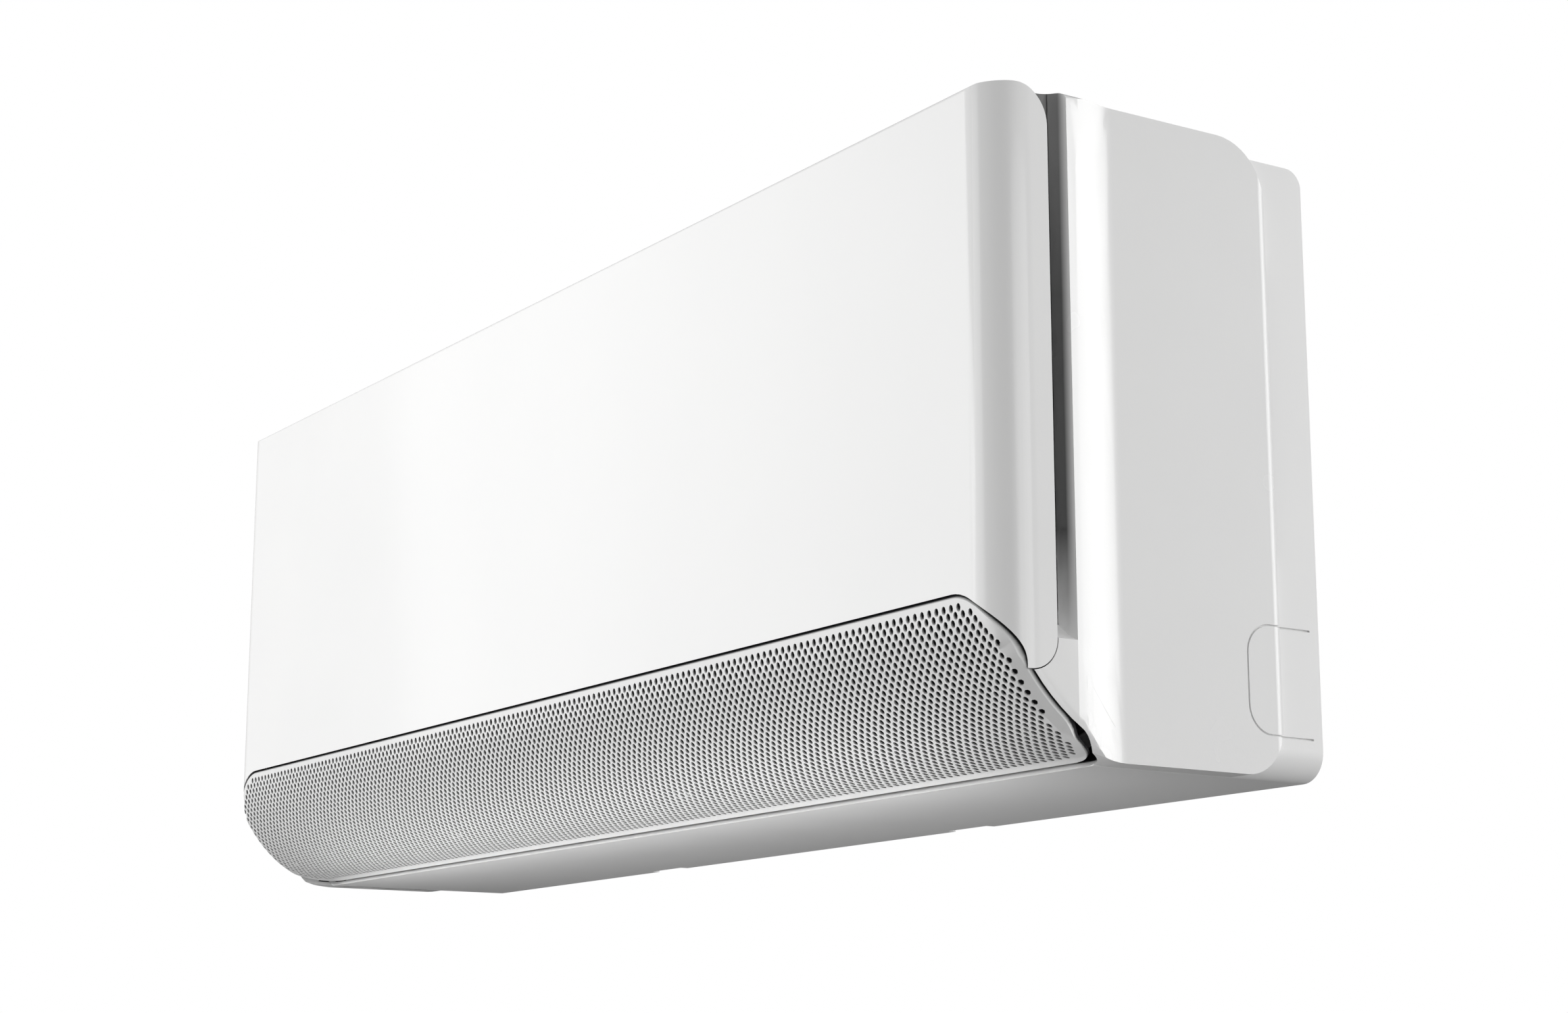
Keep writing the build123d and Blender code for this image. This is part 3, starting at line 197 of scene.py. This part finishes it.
class Graph:
    """The node tree of a material or of the world."""

    def __init__(self, owner):
        self.owner = owner
        owner.use_nodes = True
        self.tree = owner.node_tree
        self.tree.nodes.clear()

    def node(self, kind, settings, *inputs, out=0, **named):
        """Adds a node, sets and links its inputs, and returns one of its outputs."""
        made = self.tree.nodes.new(kind)
        for key, value in settings.items():
            setattr(made, key, value)
        for key, value in list(enumerate(inputs)) + list(named.items()):
            if value is None:
                continue
            socket = made.inputs[key.replace("_", " ") if isinstance(key, str) else key]
            if isinstance(value, Value):
                self.tree.links.new(value.socket, socket)
            else:
                socket.default_value = value
        return Value(self, made.outputs[out]) if len(made.outputs) else None

    def place(self):
        return self.node("ShaderNodeTexCoord", {}, out="Object")

    def axis(self, name):
        """A place's distance along one axis, in metres."""
        return self.node("ShaderNodeSeparateXYZ", {}, self.place(), out=name)

    def facing(self, name):
        """How far the surface faces along one axis, from -1 to 1."""
        normal = self.node("ShaderNodeTexCoord", {}, out="Normal")
        return self.node("ShaderNodeSeparateXYZ", {}, normal, out=name)

    def noise(self, scale, detail=2.0, stretch=None):
        place = self.place()
        if stretch:
            place = self.node("ShaderNodeMapping", {}, place, Scale=stretch)
        return self.node("ShaderNodeTexNoise", {}, Vector=place, Scale=scale, Detail=detail)

    def mix(self, share, first, second):
        """Colour between two colours, which are the node's seventh and eighth inputs."""
        unused = [None] * 5
        return self.node("ShaderNodeMix", {"data_type": "RGBA"}, share, *unused, first, second, out=2)

    def bump(self, height, distance, strength=1.0):
        return self.node("ShaderNodeBump", {}, Strength=strength, Distance=distance,
                         Height=height, out="Normal")

    def surface(self, **inputs):
        shader = self.node("ShaderNodeBsdfPrincipled", {}, **inputs)
        self.node("ShaderNodeOutputMaterial", {}, shader)
        return self.owner


def material(name):
    return Graph(bpy.data.materials.new(name))


def rgb(r, g, b):
    return (r, g, b, 1.0)


# ---- masks of painted shade, 0 to 1 over the casing's plastic, and a bump height ---
def outlet_depth(g):
    """Metres behind the body's curved lower front along the outlet, and metres across it."""
    y, z = g.axis("Y"), g.axis("Z")
    across = (y - z) / ROOT2
    along = (y + z) / ROOT2
    radius = BODY_ARC * MM
    off = across - (BODY_Y - ARC_Z) / ROOT2 * MM
    middle = (BODY_Y + ARC_Z) / ROOT2 * MM
    return along - middle + (radius * radius - off * off).most(0.0).root(), across


def span(value, start, end):
    """Mapped from one (place, depth) in millimetres to another, in metres."""
    return value.spread(start[0] * MM, end[0] * MM, start[1] * MM, end[1] * MM)


def painted_shade_in_outlet(g):
    """Painted shade: 1 on what lies in the outlet, from a few millimetres behind its edge."""
    depth, across = outlet_depth(g)
    x = g.axis("X")
    margin = (across - (OPEN_TOP - DARK_EDGE) * MM).least((OPEN_LOW + DARK_EDGE) * MM - across)
    margin = margin.least((OPEN_X + DARK_EDGE) * MM - x.absolute())
    margin = margin.least(DARK_BACK * MM - g.axis("Y"))

    # what looks out of the outlet or sideways gets painted shade only far behind its edge
    sideways = g.facing("X") * x.sign()
    outward = (g.facing("Y") + g.facing("Z")) / -ROOT2
    wall = outward.most(sideways).spread(0.2, 0.35, 1.0, 0.0)
    behind = (depth - DARK_FORWARD * MM).least((NECK - 1.0) * MM - x.absolute()).spread(0.0, 1.0 * MM)

    # the painted shade starts further back at the lower edge and towards the ends
    start = span(across, DARK_UPPER, DARK_LOWER)
    end = x.absolute().spread(END_SPAN[0] * MM, END_SPAN[1] * MM)
    start = start + end * span(across, END_UPPER, END_LOWER)
    inside = margin.spread(0.0, DARK_SOFT * MM)
    return (depth - start).spread(0.0, DARK_FADE * MM) * inside * wall.most(behind)


def painted_shade_in_casing(g):
    """Painted shade: 1 on the casing's inner faces, which face its dark inside."""
    x, y, z = g.axis("X").absolute(), g.axis("Y"), g.axis("Z")
    margin = (CASING_INNER * MM - x).least(y - (CASING_FRONT + INNER_SKIN) * MM)
    margin = margin.least((TOP - CHASSIS_DROP) * MM - z).least(z - (UNDER + INNER_SKIN) * MM)
    margin = margin.least(INNER_REAR * MM - y)
    off_y, off_z = y - BODY_Y * MM, z - ARC_Z * MM
    radius = (off_y.least(0.0).power(2.0) + off_z.least(0.0).power(2.0)).root()
    return margin.least((BODY_ARC - INNER_SKIN) * MM - radius).spread(0.0, DARK_SOFT * MM)


def painted_shade_in_groove(g):
    """Painted shade in the groove behind the panel's wings, 0 to 1: stronger deeper in, weaker near the
    top and down its lower sweep.
    """
    x, y, z = g.axis("X").absolute(), g.axis("Y"), g.axis("Z")
    deep = (HALF * MM - x).spread(GROOVE_DEPTH[0] * MM, GROOVE_DEPTH[1] * MM)
    between = (y - (WING_REAR - 1.0) * MM).least((NOSE + 0.3) * MM - y).spread(0.0, 0.6 * MM)
    top_light = z.spread(GROOVE_TOP_LIGHT * MM, TOP * MM, 1.0, 0.82)
    low_light = z.spread(GROOVE_LOW_LIGHT[0] * MM, GROOVE_LOW_LIGHT[1] * MM)
    return deep * between * top_light * low_light


def side_swell(g):
    """Steeper start of the casing's flared front edge and its rounded rear edge."""
    x, y = g.axis("X").absolute(), g.axis("Y")
    (front_length, front_height), (rear_length, rear_height) = FLARE_SWELL, REAR_SWELL
    front = y.spread(NOSE * MM, (NOSE + front_length) * MM, 1.0, 0.0)
    rear = y.spread((STEP_Y - rear_length) * MM, STEP_Y * MM)
    height = front * front * (front_height * MM) - rear * rear * (rear_height * MM)
    return height * x.spread((SIDE - 1.2) * MM, (SIDE - 0.8) * MM)


def painted_shade_in_holes(g):
    """Painted shade: 1 on the walls of the louver's holes, apart from what faces the back."""
    painted_shade_weight = g.node("ShaderNodeAttribute", {"attribute_name": "painted_shade_weight"}, out="Fac").spread(0.12, 0.55)
    backward = (g.facing("Y") + g.facing("Z")) / ROOT2
    return painted_shade_weight * backward.spread(0.25, 0.45, 1.0, 0.0)


# ---- materials --------------------------------------------------------------
# height in metres and scale of a moulded grain
FINE, SATIN, DULL, RESIN = (0.00002, 900.0), (0.00005, 500.0), (0.0001, 400.0), (0.0001, 300.0)


def moulded(name, light, dark, rough, coat, grain=FINE, shades=(), swell=None):
    """Injection-moulded plastic: faint colour drift, fine grain and slightly uneven gloss.

    Each shade is a painted shade: a function from the graph to a mask, and the colour that shows where it
    is 1.
    A swell is a function from the graph to the height of a soft form, in metres.
    """
    g = material(name)
    grain_height, grain_scale = grain
    colour = g.mix(g.noise(6.0).spread(0.3, 0.7), dark, light)
    for mask, shade in shades:
        colour = g.mix(mask(g), colour, shade)
    gloss = g.noise(25.0).spread(0.3, 0.7, rough - 0.01, rough + 0.015)
    height = g.noise(grain_scale) * grain_height
    if swell:
        height = height + swell(g)
    return g.surface(Base_Color=colour, Roughness=gloss, Coat_Weight=coat, Coat_Roughness=0.08,
                     Normal=g.bump(height, 1.0))


def metal(name, light, dark, rough, stretch, scale=60.0):
    """Bare metal with drawn or rolled lines."""
    g = material(name)
    lines = g.noise(scale, 4.0, stretch)
    colour = g.mix(lines.spread(0.35, 0.65), dark, light)
    gloss = lines.spread(0.3, 0.7, rough - 0.06, rough + 0.08)
    return g.surface(Base_Color=colour, Metallic=1.0, Roughness=gloss, Normal=g.bump(lines, 0.02 * MM))


def circuit(name):
    """Solder mask with tracks."""
    g = material(name)
    tracks = ((g.axis("Y") * 900.0).sine() * (g.axis("Z") * 700.0).sine()).above(0.25)
    colour = g.mix(tracks, rgb(0.008, 0.07, 0.025), rgb(0.02, 0.16, 0.06))
    return g.surface(Base_Color=colour, Roughness=0.35, Normal=g.bump(tracks, 0.1 * MM))


def fin_pack(name):
    """Stack of thin aluminium fins: fine lines across the coil's length, dark lines of painted shade for
    the gaps between fins.
    """
    g = material(name)
    lines = (g.axis("X") * (2 * math.pi / (FIN_PITCH * MM))).sine().spread(-0.4, 0.6)
    mottle = g.noise(70.0, 3.0)
    bright = g.mix(mottle.spread(0.3, 0.7), rgb(0.62, 0.64, 0.66), rgb(0.76, 0.78, 0.80))
    # painted shade: the dark colour stands for the shaded gaps between the fins
    colour = g.mix(lines, rgb(0.07, 0.075, 0.08), bright)
    gloss = mottle.spread(0.3, 0.7, 0.30, 0.42)
    return g.surface(Base_Color=colour, Metallic=1.0, Roughness=gloss, Normal=g.bump(lines, 0.3 * MM))


def filter_cloth(name):
    """Filter frame, whose thin sheet shows a fine square mesh."""
    g = material(name)
    threads = [(g.axis(axis) * 3600.0).sine().absolute() for axis in "XY"]
    weave = threads[0] * threads[1]
    z = g.axis("Z")
    sheet = (z - SHEET_LOW * MM).least(SHEET_HIGH * MM - z).above(0.0)
    cloth = g.mix(weave.spread(0.2, 0.8), rgb(0.32, 0.35, 0.37), rgb(0.03, 0.034, 0.04))
    plain = g.mix(g.noise(30.0).spread(0.3, 0.7), rgb(0.13, 0.145, 0.155), rgb(0.16, 0.18, 0.19))
    return g.surface(Base_Color=g.mix(sheet, plain, cloth), Roughness=0.55,
                     Normal=g.bump(weave * sheet, -0.3 * MM))


def zinc(name):
    """Zinc-coated sheet with its pale spangle."""
    g = material(name)
    flakes = g.node("ShaderNodeTexVoronoi", {}, Vector=g.place(), Scale=160.0, out="Color")
    shine = g.node("ShaderNodeRGBToBW", {}, flakes).spread(0.1, 0.9)
    colour = g.mix(shine, rgb(0.42, 0.43, 0.44), rgb(0.66, 0.67, 0.68))
    return g.surface(Base_Color=colour, Metallic=1.0, Roughness=shine.spread(0.0, 1.0, 0.30, 0.46))


WHITE = dict(light=rgb(0.92, 0.92, 0.915), dark=rgb(0.90, 0.90, 0.897))
# painted shade: the casing's white is a little darker than the chassis's, for the light that falls less on
# its side
SHELL_PAINTED_SHADE_WHITE = dict(light=rgb(0.90, 0.90, 0.895), dark=rgb(0.88, 0.88, 0.877))
LOUVER_WHITE = dict(light=rgb(0.84, 0.84, 0.835), dark=rgb(0.82, 0.82, 0.817))
# painted shade: near black where shade falls in the outlet and inside the casing
PAINTED_HOLLOW_SHADE = rgb(0.035, 0.035, 0.037)
# painted shade in the groove behind the panel's wings
GROOVE_PAINTED_SHADE = rgb(0.07, 0.07, 0.07)
# painted shade on the walls of the louver's holes
HOLE_PAINTED_SHADE = rgb(0.03, 0.03, 0.032)
EVEN = (1, 1, 1)

MATERIALS = {
    "panel": moulded("panel_white", rough=0.24, coat=0.35, shades=[(painted_shade_in_outlet, PAINTED_HOLLOW_SHADE)], **WHITE),
    "shell": moulded("shell_white_painted_shade", rough=0.26, coat=0.35, swell=side_swell, **SHELL_PAINTED_SHADE_WHITE, shades=[
        (painted_shade_in_casing, PAINTED_HOLLOW_SHADE), (painted_shade_in_outlet, PAINTED_HOLLOW_SHADE), (painted_shade_in_groove, GROOVE_PAINTED_SHADE)]),
    "shell_rear": moulded("rear_white", rough=0.30, coat=0.25, shades=[(painted_shade_in_outlet, PAINTED_HOLLOW_SHADE)], **WHITE),
    "inner_white": moulded(
        "inner_white", rgb(0.78, 0.78, 0.77), rgb(0.74, 0.74, 0.73), 0.42, 0.0, SATIN),
    "vane_plastic": moulded("vane_grey", rgb(0.022, 0.022, 0.024), rgb(0.016, 0.016, 0.017), 0.40, 0.0),
    "fan_plastic": moulded(
        "fan_grey", rgb(0.020, 0.020, 0.022), rgb(0.014, 0.014, 0.015), 0.42, 0.0, SATIN),
    "dark_plastic": moulded(
        "dark_plastic", rgb(0.016, 0.016, 0.017), rgb(0.010, 0.010, 0.011), 0.45, 0.0, SATIN),
    "filter": filter_cloth("filter_grey"),
    "motor_case": moulded("motor_resin", rgb(0.58, 0.57, 0.54), rgb(0.52, 0.51, 0.48), 0.55, 0.0, RESIN),
    "display": moulded("display_smoke", rgb(0.012, 0.012, 0.014), rgb(0.009, 0.009, 0.010), 0.10, 0.8),
    "rubber": moulded(
        "rubber_black", rgb(0.014, 0.014, 0.014), rgb(0.009, 0.009, 0.009), 0.75, 0.0, DULL),
    "fins": fin_pack("fin_stock"),
    "copper": metal("copper_tube", rgb(0.86, 0.46, 0.30), rgb(0.66, 0.30, 0.18), 0.28, (0.4, 6, 6)),
    "brass": metal("brass_union", rgb(0.80, 0.62, 0.28), rgb(0.66, 0.48, 0.20), 0.26, (6, 1, 1)),
    "bearing": metal("bronze_bush", rgb(0.52, 0.40, 0.24), rgb(0.40, 0.30, 0.17), 0.42, EVEN, 300.0),
    "screw_steel": metal("screw_steel", rgb(0.60, 0.60, 0.60), rgb(0.48, 0.48, 0.48), 0.34, EVEN, 200.0),
    "zinc_steel": zinc("zinc_sheet"),
    "board": circuit("circuit_board"),
}
PERFORATED = moulded("louver_white", rough=0.30, coat=0.35, shades=[(painted_shade_in_holes, HOLE_PAINTED_SHADE)], **LOUVER_WHITE)


# ---- carried-over nodes -----------------------------------------------------
def soft_shading():
    """Modifier group that joins split corners and keeps only clear edges sharp."""
    tree = bpy.data.node_groups.new("edge_shading", "GeometryNodeTree")
    tree.interface.new_socket("Geometry", in_out="INPUT", socket_type="NodeSocketGeometry")
    tree.interface.new_socket("Geometry", in_out="OUTPUT", socket_type="NodeSocketGeometry")
    made = {key: tree.nodes.new(kind) for key, kind in (
        ("start", "NodeGroupInput"), ("join", "GeometryNodeMergeByDistance"),
        ("faces", "GeometryNodeSetShadeSmooth"), ("edges", "GeometryNodeSetShadeSmooth"),
        ("angle", "GeometryNodeInputMeshEdgeAngle"), ("sharp", "FunctionNodeCompare"),
        ("end", "NodeGroupOutput"))}
    made["join"].inputs["Distance"].default_value = CORNER_JOIN * MM
    made["faces"].domain = "FACE"
    made["edges"].domain = "EDGE"
    made["edges"].inputs["Shade Smooth"].default_value = False
    made["sharp"].operation = "GREATER_THAN"
    made["sharp"].inputs[1].default_value = math.radians(SOFT_ANGLE)
    for source, target, socket in (("start", "join", 0), ("join", "faces", 0), ("faces", "edges", 0),
                                   ("angle", "sharp", 0), ("sharp", "edges", 1), ("edges", "end", 0)):
        tree.links.new(made[source].outputs[0], made[target].inputs[socket])
    return tree


EDGES = soft_shading()


def dress(node, slot):
    """Gives a carried-over node its material, soft shading and, where one is named, an edge radius."""
    obj = frame["nodes"][node]
    obj.data.materials.clear()
    obj.data.materials.append(MATERIALS[slot])
    if "custom_normal" in obj.data.attributes:
        obj.data.attributes.remove(obj.data.attributes["custom_normal"])
    shading = obj.modifiers.new("edges", "NODES")
    shading.node_group = EDGES
    if node in BEVELS:
        flat = obj.modifiers.new("flat", "DECIMATE")
        flat.decimate_type = "DISSOLVE"
        flat.angle_limit = math.radians(FLAT_ANGLE)
        edge = obj.modifiers.new("bevel", "BEVEL")
        edge.width = BEVELS[node] * MM
        edge.segments = 2
        edge.limit_method = "ANGLE"
        edge.angle_limit = math.radians(BEVEL_ANGLE)
        edge.harden_normals = False
        weighted = obj.modifiers.new("normals", "WEIGHTED_NORMAL")
        weighted.keep_sharp = True


for part in frame["record"]["subparts"]:
    dress(part["node"], part["material_slot"])


# ---- louver -----------------------------------------------------------------
def add_object(name, bm, body, surface):
    """Turns a bmesh into an object that rides on a body."""
    mesh = bpy.data.meshes.new(name)
    bm.to_mesh(mesh)
    bm.free()
    mesh.materials.append(surface)
    mesh.polygons.foreach_set("use_smooth", [True] * len(mesh.polygons))
    mesh.set_sharp_from_angle(angle=math.radians(SOFT_ANGLE))
    obj = bpy.data.objects.new(name, mesh)
    bpy.context.scene.collection.objects.link(obj)
    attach(obj, body)
    return obj


def chord(radius, off):
    """Height of a circle over a place beside its middle, 0 outside it."""
    return math.sqrt(max(radius ** 2 - off ** 2, 0.0))


def side_place(x, across, along):
    """Point in metres from its x and its places across and along the outlet."""
    return Vector((x, (along + across) / ROOT2, (along - across) / ROOT2)) * MM


def arc_depth(across, radius, y=LOUVER_Y, z=ARC_Z):
    """Place along the outlet of an arc about a side-view centre, at a place across it."""
    return (y + z) / ROOT2 - chord(radius, across - (y - z) / ROOT2)


def blend_max(a, b, gap):
    """The greater of two depths, rounded where they meet."""
    high, low = max(a, b), min(a, b)
    share = max(gap - (high - low), 0.0) / gap
    return high + share * share * gap / 4


def louver_place(x, across, sink):
    """Point of the louver's skin in metres, a given depth under its outer face."""
    depth = arc_depth(across, LOUVER_ARC - sink)
    past = abs(x) - (HALF - PANEL_CORNER)
    if past > 0:
        y = FRONT + PANEL_CORNER - chord(PANEL_CORNER - sink, past)
        depth = blend_max(depth, ROOT2 * y - across, CORNER_BLEND)
    past = abs(x) - (HALF - END_R)
    if past > 0:
        ring = END_ARC + chord(END_R - sink, past)
        depth = blend_max(depth, arc_depth(across, ring, END_Y, END_Z), END_BLEND)
    return side_place(x, across, depth)


def louver_outline():
    """Rounded rectangle of the louver as a list of places (x, across), counter-clockwise."""
    end, low, high = LOUVER_X - LOUVER_R, LOUVER_LOW - LOUVER_R, LOUVER_TOP + LOUVER_R
    arc = int(math.pi / 2 * LOUVER_R / OUTLINE_STEP)
    points = []
    for turn, (x, across) in enumerate(((end, low), (-end, low), (-end, high), (end, high))):
        for i in range(arc + 1):
            angle = math.pi / 2 * (turn + i / arc)
            points.append((x + LOUVER_R * math.cos(angle), across + LOUVER_R * math.sin(angle)))
    closed = []
    for a, b in zip(points, points[1:] + points[:1]):
        count = max(1, round(math.dist(a, b) / OUTLINE_STEP))
        for i in range(count):
            closed.append(tuple(p + (q - p) * i / count for p, q in zip(a, b)))
    return closed


def hole_limit(across):
    """Outermost hole of a row: a straight border with two rounded corners."""
    if across < HOLE_TOP:
        return min(HOLE_X, HOLE_CORNER + chord(HOLE_TOP_R, across - HOLE_TOP))
    if across > HOLE_LOW:
        return HOLE_CORNER + chord(HOLE_LOW_R, across - HOLE_LOW - HOLE_LOW_DROP)
    return HOLE_X


def louver_mesh():
    """Perforated skin: a lattice of holes, the plain border, and the thickness behind them."""
    bm = bmesh.new()
    # weight of the painted shade on the hole walls, 1 on the back skin
    painted_shade_weight = bm.verts.layers.float.new("painted_shade_weight")
    corners = {}
    flat = {}

    def point(x, across):
        vertex = bm.verts.new((x, across, 0))
        flat[vertex] = (x, across)
        return vertex

    def corner(i, j):
        if (i, j) not in corners:
            corners[i, j] = point(i * PITCH / 2, FIRST_ROW + j * PITCH / 2)
        return corners[i, j]

    def hole(i, row):
        """A hole and the lozenge of skin round it."""
        x, across = i * PITCH / 2, FIRST_ROW + row * PITCH / 2
        turns = [2 * math.pi * k / HOLE_SIDES for k in range(HOLE_SIDES)]
        rim = [point(x + HOLE * math.cos(turn), across + HOLE * math.sin(turn)) for turn in turns]
        cell = [corner(i + 1, row), corner(i, row + 1), corner(i - 1, row), corner(i, row - 1)]
        for k in range(4):
            near, middle, far = rim[2 * k], rim[2 * k + 1], rim[(2 * k + 2) % HOLE_SIDES]
            bm.faces.new((cell[k], cell[(k + 1) % 4], far, middle, near))

    for row in range(ROWS):
        last = int(hole_limit(FIRST_ROW + row * PITCH / 2) / (PITCH / 2))
        for i in range(-last, last + 1):
            if (i + row) % 2 == 0:
                hole(i, row)

    lattice = set(corners.values())
    border = [e for e in bm.edges if len(e.link_faces) == 1 and lattice.issuperset(e.verts)]
    ring = [point(*place) for place in louver_outline()]
    border += [bm.edges.new((a, b)) for a, b in zip(ring, ring[1:] + ring[:1])]
    bmesh.ops.triangle_fill(bm, use_beauty=True, use_dissolve=False, edges=border)
    bmesh.ops.recalc_face_normals(bm, faces=bm.faces[:])
    for vertex, (x, across) in flat.items():
        vertex.co = louver_place(x, across, 0.0)
    skin = bmesh.ops.extrude_face_region(bm, geom=bm.faces[:])
    for vertex in (g for g in skin["geom"] if isinstance(g, bmesh.types.BMVert)):
        x = vertex.co.x / MM
        across = (vertex.co.y - vertex.co.z) / MM / ROOT2
        vertex.co = louver_place(x, across, LOUVER_WALL)
        vertex[painted_shade_weight] = 1.0
    bmesh.ops.recalc_face_normals(bm, faces=bm.faces[:])
    return bm


def cylinder_x(bm, y, z, radius, x0, x1):
    """Cylinder along X between two places."""
    made = bmesh.ops.create_cone(bm, cap_ends=True, segments=24, radius1=radius * MM,
                                 radius2=radius * MM, depth=(x1 - x0) * MM)
    for v in made["verts"]:
        v.co = Vector((v.co.z + (x0 + x1) / 2 * MM, v.co.x + y * MM, v.co.y + z * MM))


def louver_lugs(bm):
    """Lugs with pins behind the louver, as in the solids."""
    along = arc_depth(PIVOT_ACROSS, LOUVER_ARC) + PIVOT_SINK
    y, z = (along + PIVOT_ACROSS) / ROOT2, (along - PIVOT_ACROSS) / ROOT2
    for place, sides in LUGS:
        cylinder_x(bm, y, z, PIN_R, place - PIN_REACH, place + PIN_REACH)
        for side in sides:
            x0, x1 = sorted((place + side * LUG_INNER, place + side * LUG_OUTER))
            cylinder_x(bm, y, z, LUG_R, x0, x1)
            for v in bmesh.ops.create_cube(bm, size=1.0)["verts"]:
                x = (x0 + x1) / 2 + v.co.x * (x1 - x0)
                v.co = side_place(x, PIVOT_ACROSS + v.co.y * 2 * LUG_R, along + (v.co.z - 0.5) * LUG_DEPTH)


def louver():
    bm = louver_mesh()
    louver_lugs(bm)
    obj = add_object("louver_skin", bm, "louver", PERFORATED)
    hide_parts("louver")


louver()


# ---- cheeks -----------------------------------------------------------------
def flare_point(t):
    """Place (x, y) along the casing's flared side in plan, a curve with four handles."""
    rear = NOSE + FLARE_LENGTH
    handles = ((HALF, NOSE), (HALF, NOSE + FLARE_REACH), (SIDE, rear - FLARE_REACH), (SIDE, rear))
    weights = ((1 - t) ** 3, 3 * t * (1 - t) ** 2, 3 * t * t * (1 - t), t ** 3)
    return tuple(sum(w * handle[axis] for w, handle in zip(weights, handles)) for axis in (0, 1))


def flare_place(back, up):
    """Outer place of the flared side behind the louver's end, from shares 0 to 1."""
    x, y = flare_point(FLARE_FROM + (FLARE_TO - FLARE_FROM) * back)
    ring = END_ARC + chord(END_R, max(x - (HALF - END_R), 0.0))
    low = max(END_Z - chord(ring, y - END_Y) + CHEEK_INSET, CHEEK_LOWEST)
    return x, y, low + (CHEEK_TOP - low) * up


def neck_place(back, up):
    """Outer place of the groove's bottom beside the outlet, behind the panel's wing."""
    y = NECK_SPAN[0] + (NECK_SPAN[1] - NECK_SPAN[0]) * back
    return NECK, y, NECK_RISE[0] + (NECK_RISE[1] - NECK_RISE[0]) * up


def add_wall(bm, place, columns, rows, sign):
    """Thin wall just under the outer places that a function gives."""
    first = len(bm.faces)
    grid = bmesh.ops.create_grid(bm, x_segments=columns, y_segments=rows, size=1.0)
    for vertex in grid["verts"]:
        x, y, z = place((vertex.co.x + 1) / 2, (vertex.co.y + 1) / 2)
        vertex.co = Vector((sign * (x - CHEEK_SINK), y, z)) * MM
    skin = bmesh.ops.extrude_face_region(bm, geom=list(bm.faces)[first:])
    inner = [g for g in skin["geom"] if isinstance(g, bmesh.types.BMVert)]
    bmesh.ops.translate(bm, verts=inner, vec=(-sign * CHEEK_WALL * MM, 0, 0))


def cheek(name, sign):
    """Thin walls between the outlet's end and the side, flush with the casing."""
    bm = bmesh.new()
    add_wall(bm, flare_place, 12, 8, sign)
    add_wall(bm, neck_place, 2, 6, sign)
    bmesh.ops.recalc_face_normals(bm, faces=bm.faces[:])
    add_object(name, bm, "unit", MATERIALS["shell"])


cheek("cheek_left", -1)
cheek("cheek_right", 1)


# ---- stage, light and camera, in metres and watts ---------------------------
def floor():
    """Pale floor below the object, which the camera sees mostly as one plain tone."""
    bm = bmesh.new()
    bmesh.ops.create_grid(bm, x_segments=8, y_segments=8, size=30.0)
    bmesh.ops.translate(bm, verts=bm.verts, vec=(0, 0, -1.7))
    mesh = bpy.data.meshes.new("floor")
    bm.to_mesh(mesh)
    bm.free()
    g = material("floor_pale")
    tone = g.mix(g.noise(2.0), rgb(0.30, 0.30, 0.30), rgb(0.33, 0.33, 0.33))
    dull = g.node("ShaderNodeBsdfPrincipled", {}, Base_Color=tone, Roughness=0.9)
    pale = g.node("ShaderNodeEmission", {}, rgb(0.97, 0.97, 0.97))
    seen = g.node("ShaderNodeLightPath", {}, out="Is Camera Ray") * 0.75
    mixed = g.node("ShaderNodeMixShader", {}, seen, dull, pale)
    g.node("ShaderNodeOutputMaterial", {}, mixed)
    mesh.materials.append(g.owner)
    obj = bpy.data.objects.new("floor", mesh)
    bpy.context.scene.collection.objects.link(obj)


def world():
    """White for the camera, a soft grey room for light and reflections."""
    g = Graph(bpy.data.worlds.new("studio"))
    bpy.context.scene.world = g.owner
    seen = g.node("ShaderNodeLightPath", {}, out="Is Camera Ray")
    room = g.node("ShaderNodeBackground", {}, rgb(1, 1, 1), 0.30)
    plain = g.node("ShaderNodeBackground", {}, rgb(1, 1, 1), 1.0)
    g.node("ShaderNodeOutputWorld", {}, g.node("ShaderNodeMixShader", {}, seen, room, plain))


def camera():
    """Below the unit's right end, looking up at it."""
    data = bpy.data.cameras.new("camera")
    data.sensor_width = SENSOR
    data.lens = LENS
    data.clip_start = 0.05
    data.clip_end = 50.0
    pitch, heading = math.radians(CAMERA_PITCH), math.radians(CAMERA_HEADING)
    look = Vector((-math.cos(pitch) * math.cos(heading), math.cos(pitch) * math.sin(heading),
                   math.sin(pitch)))
    obj = bpy.data.objects.new("camera", data)
    obj.location = Vector(CAMERA_PLACE) * MM
    obj.rotation_euler = look.to_track_quat("-Z", "Y").to_euler()
    bpy.context.scene.collection.objects.link(obj)
    bpy.context.scene.camera = obj


def area(name, place, target, size, power, reflected=True):
    """Rectangular lamp turned towards a target."""
    light = bpy.data.lights.new(name, "AREA")
    light.shape = "RECTANGLE"
    light.size, light.size_y = size
    light.energy = power
    obj = bpy.data.objects.new(name, light)
    obj.location = place
    obj.rotation_euler = (Vector(target) - Vector(place)).to_track_quat("-Z", "Y").to_euler()
    obj.visible_camera = False
    obj.visible_glossy = reflected
    bpy.context.scene.collection.objects.link(obj)


def lamps():
    """Soft lamps round the unit. The fill and the weak strip below it don't show in gloss."""
    front, right_end, wide = (0.0, -0.19, 0.0), (0.4, -0.1, 0.0), (2.0, 2.0)
    left = (-2.2, -2.2, 0.6)
    area("front_left", left, front, wide, 17)
    area("front_fill", left, front, wide, 68, reflected=False)
    area("front", (-1.0, -3.0, 0.3), front, wide, 20)
    area("right_rear", (1.6, 2.6, 0.3), right_end, (1.6, 2.2), 40)
    area("right", (3.2, -0.1, 0.1), right_end, wide, 30)
    area("under", (0.0, -0.165, -0.24), (0.0, -0.15, -0.149), (0.72, 0.03), 0.36, reflected=False)


floor()
world()
camera()
lamps()
bpy.context.scene.view_settings.view_transform = "Standard"
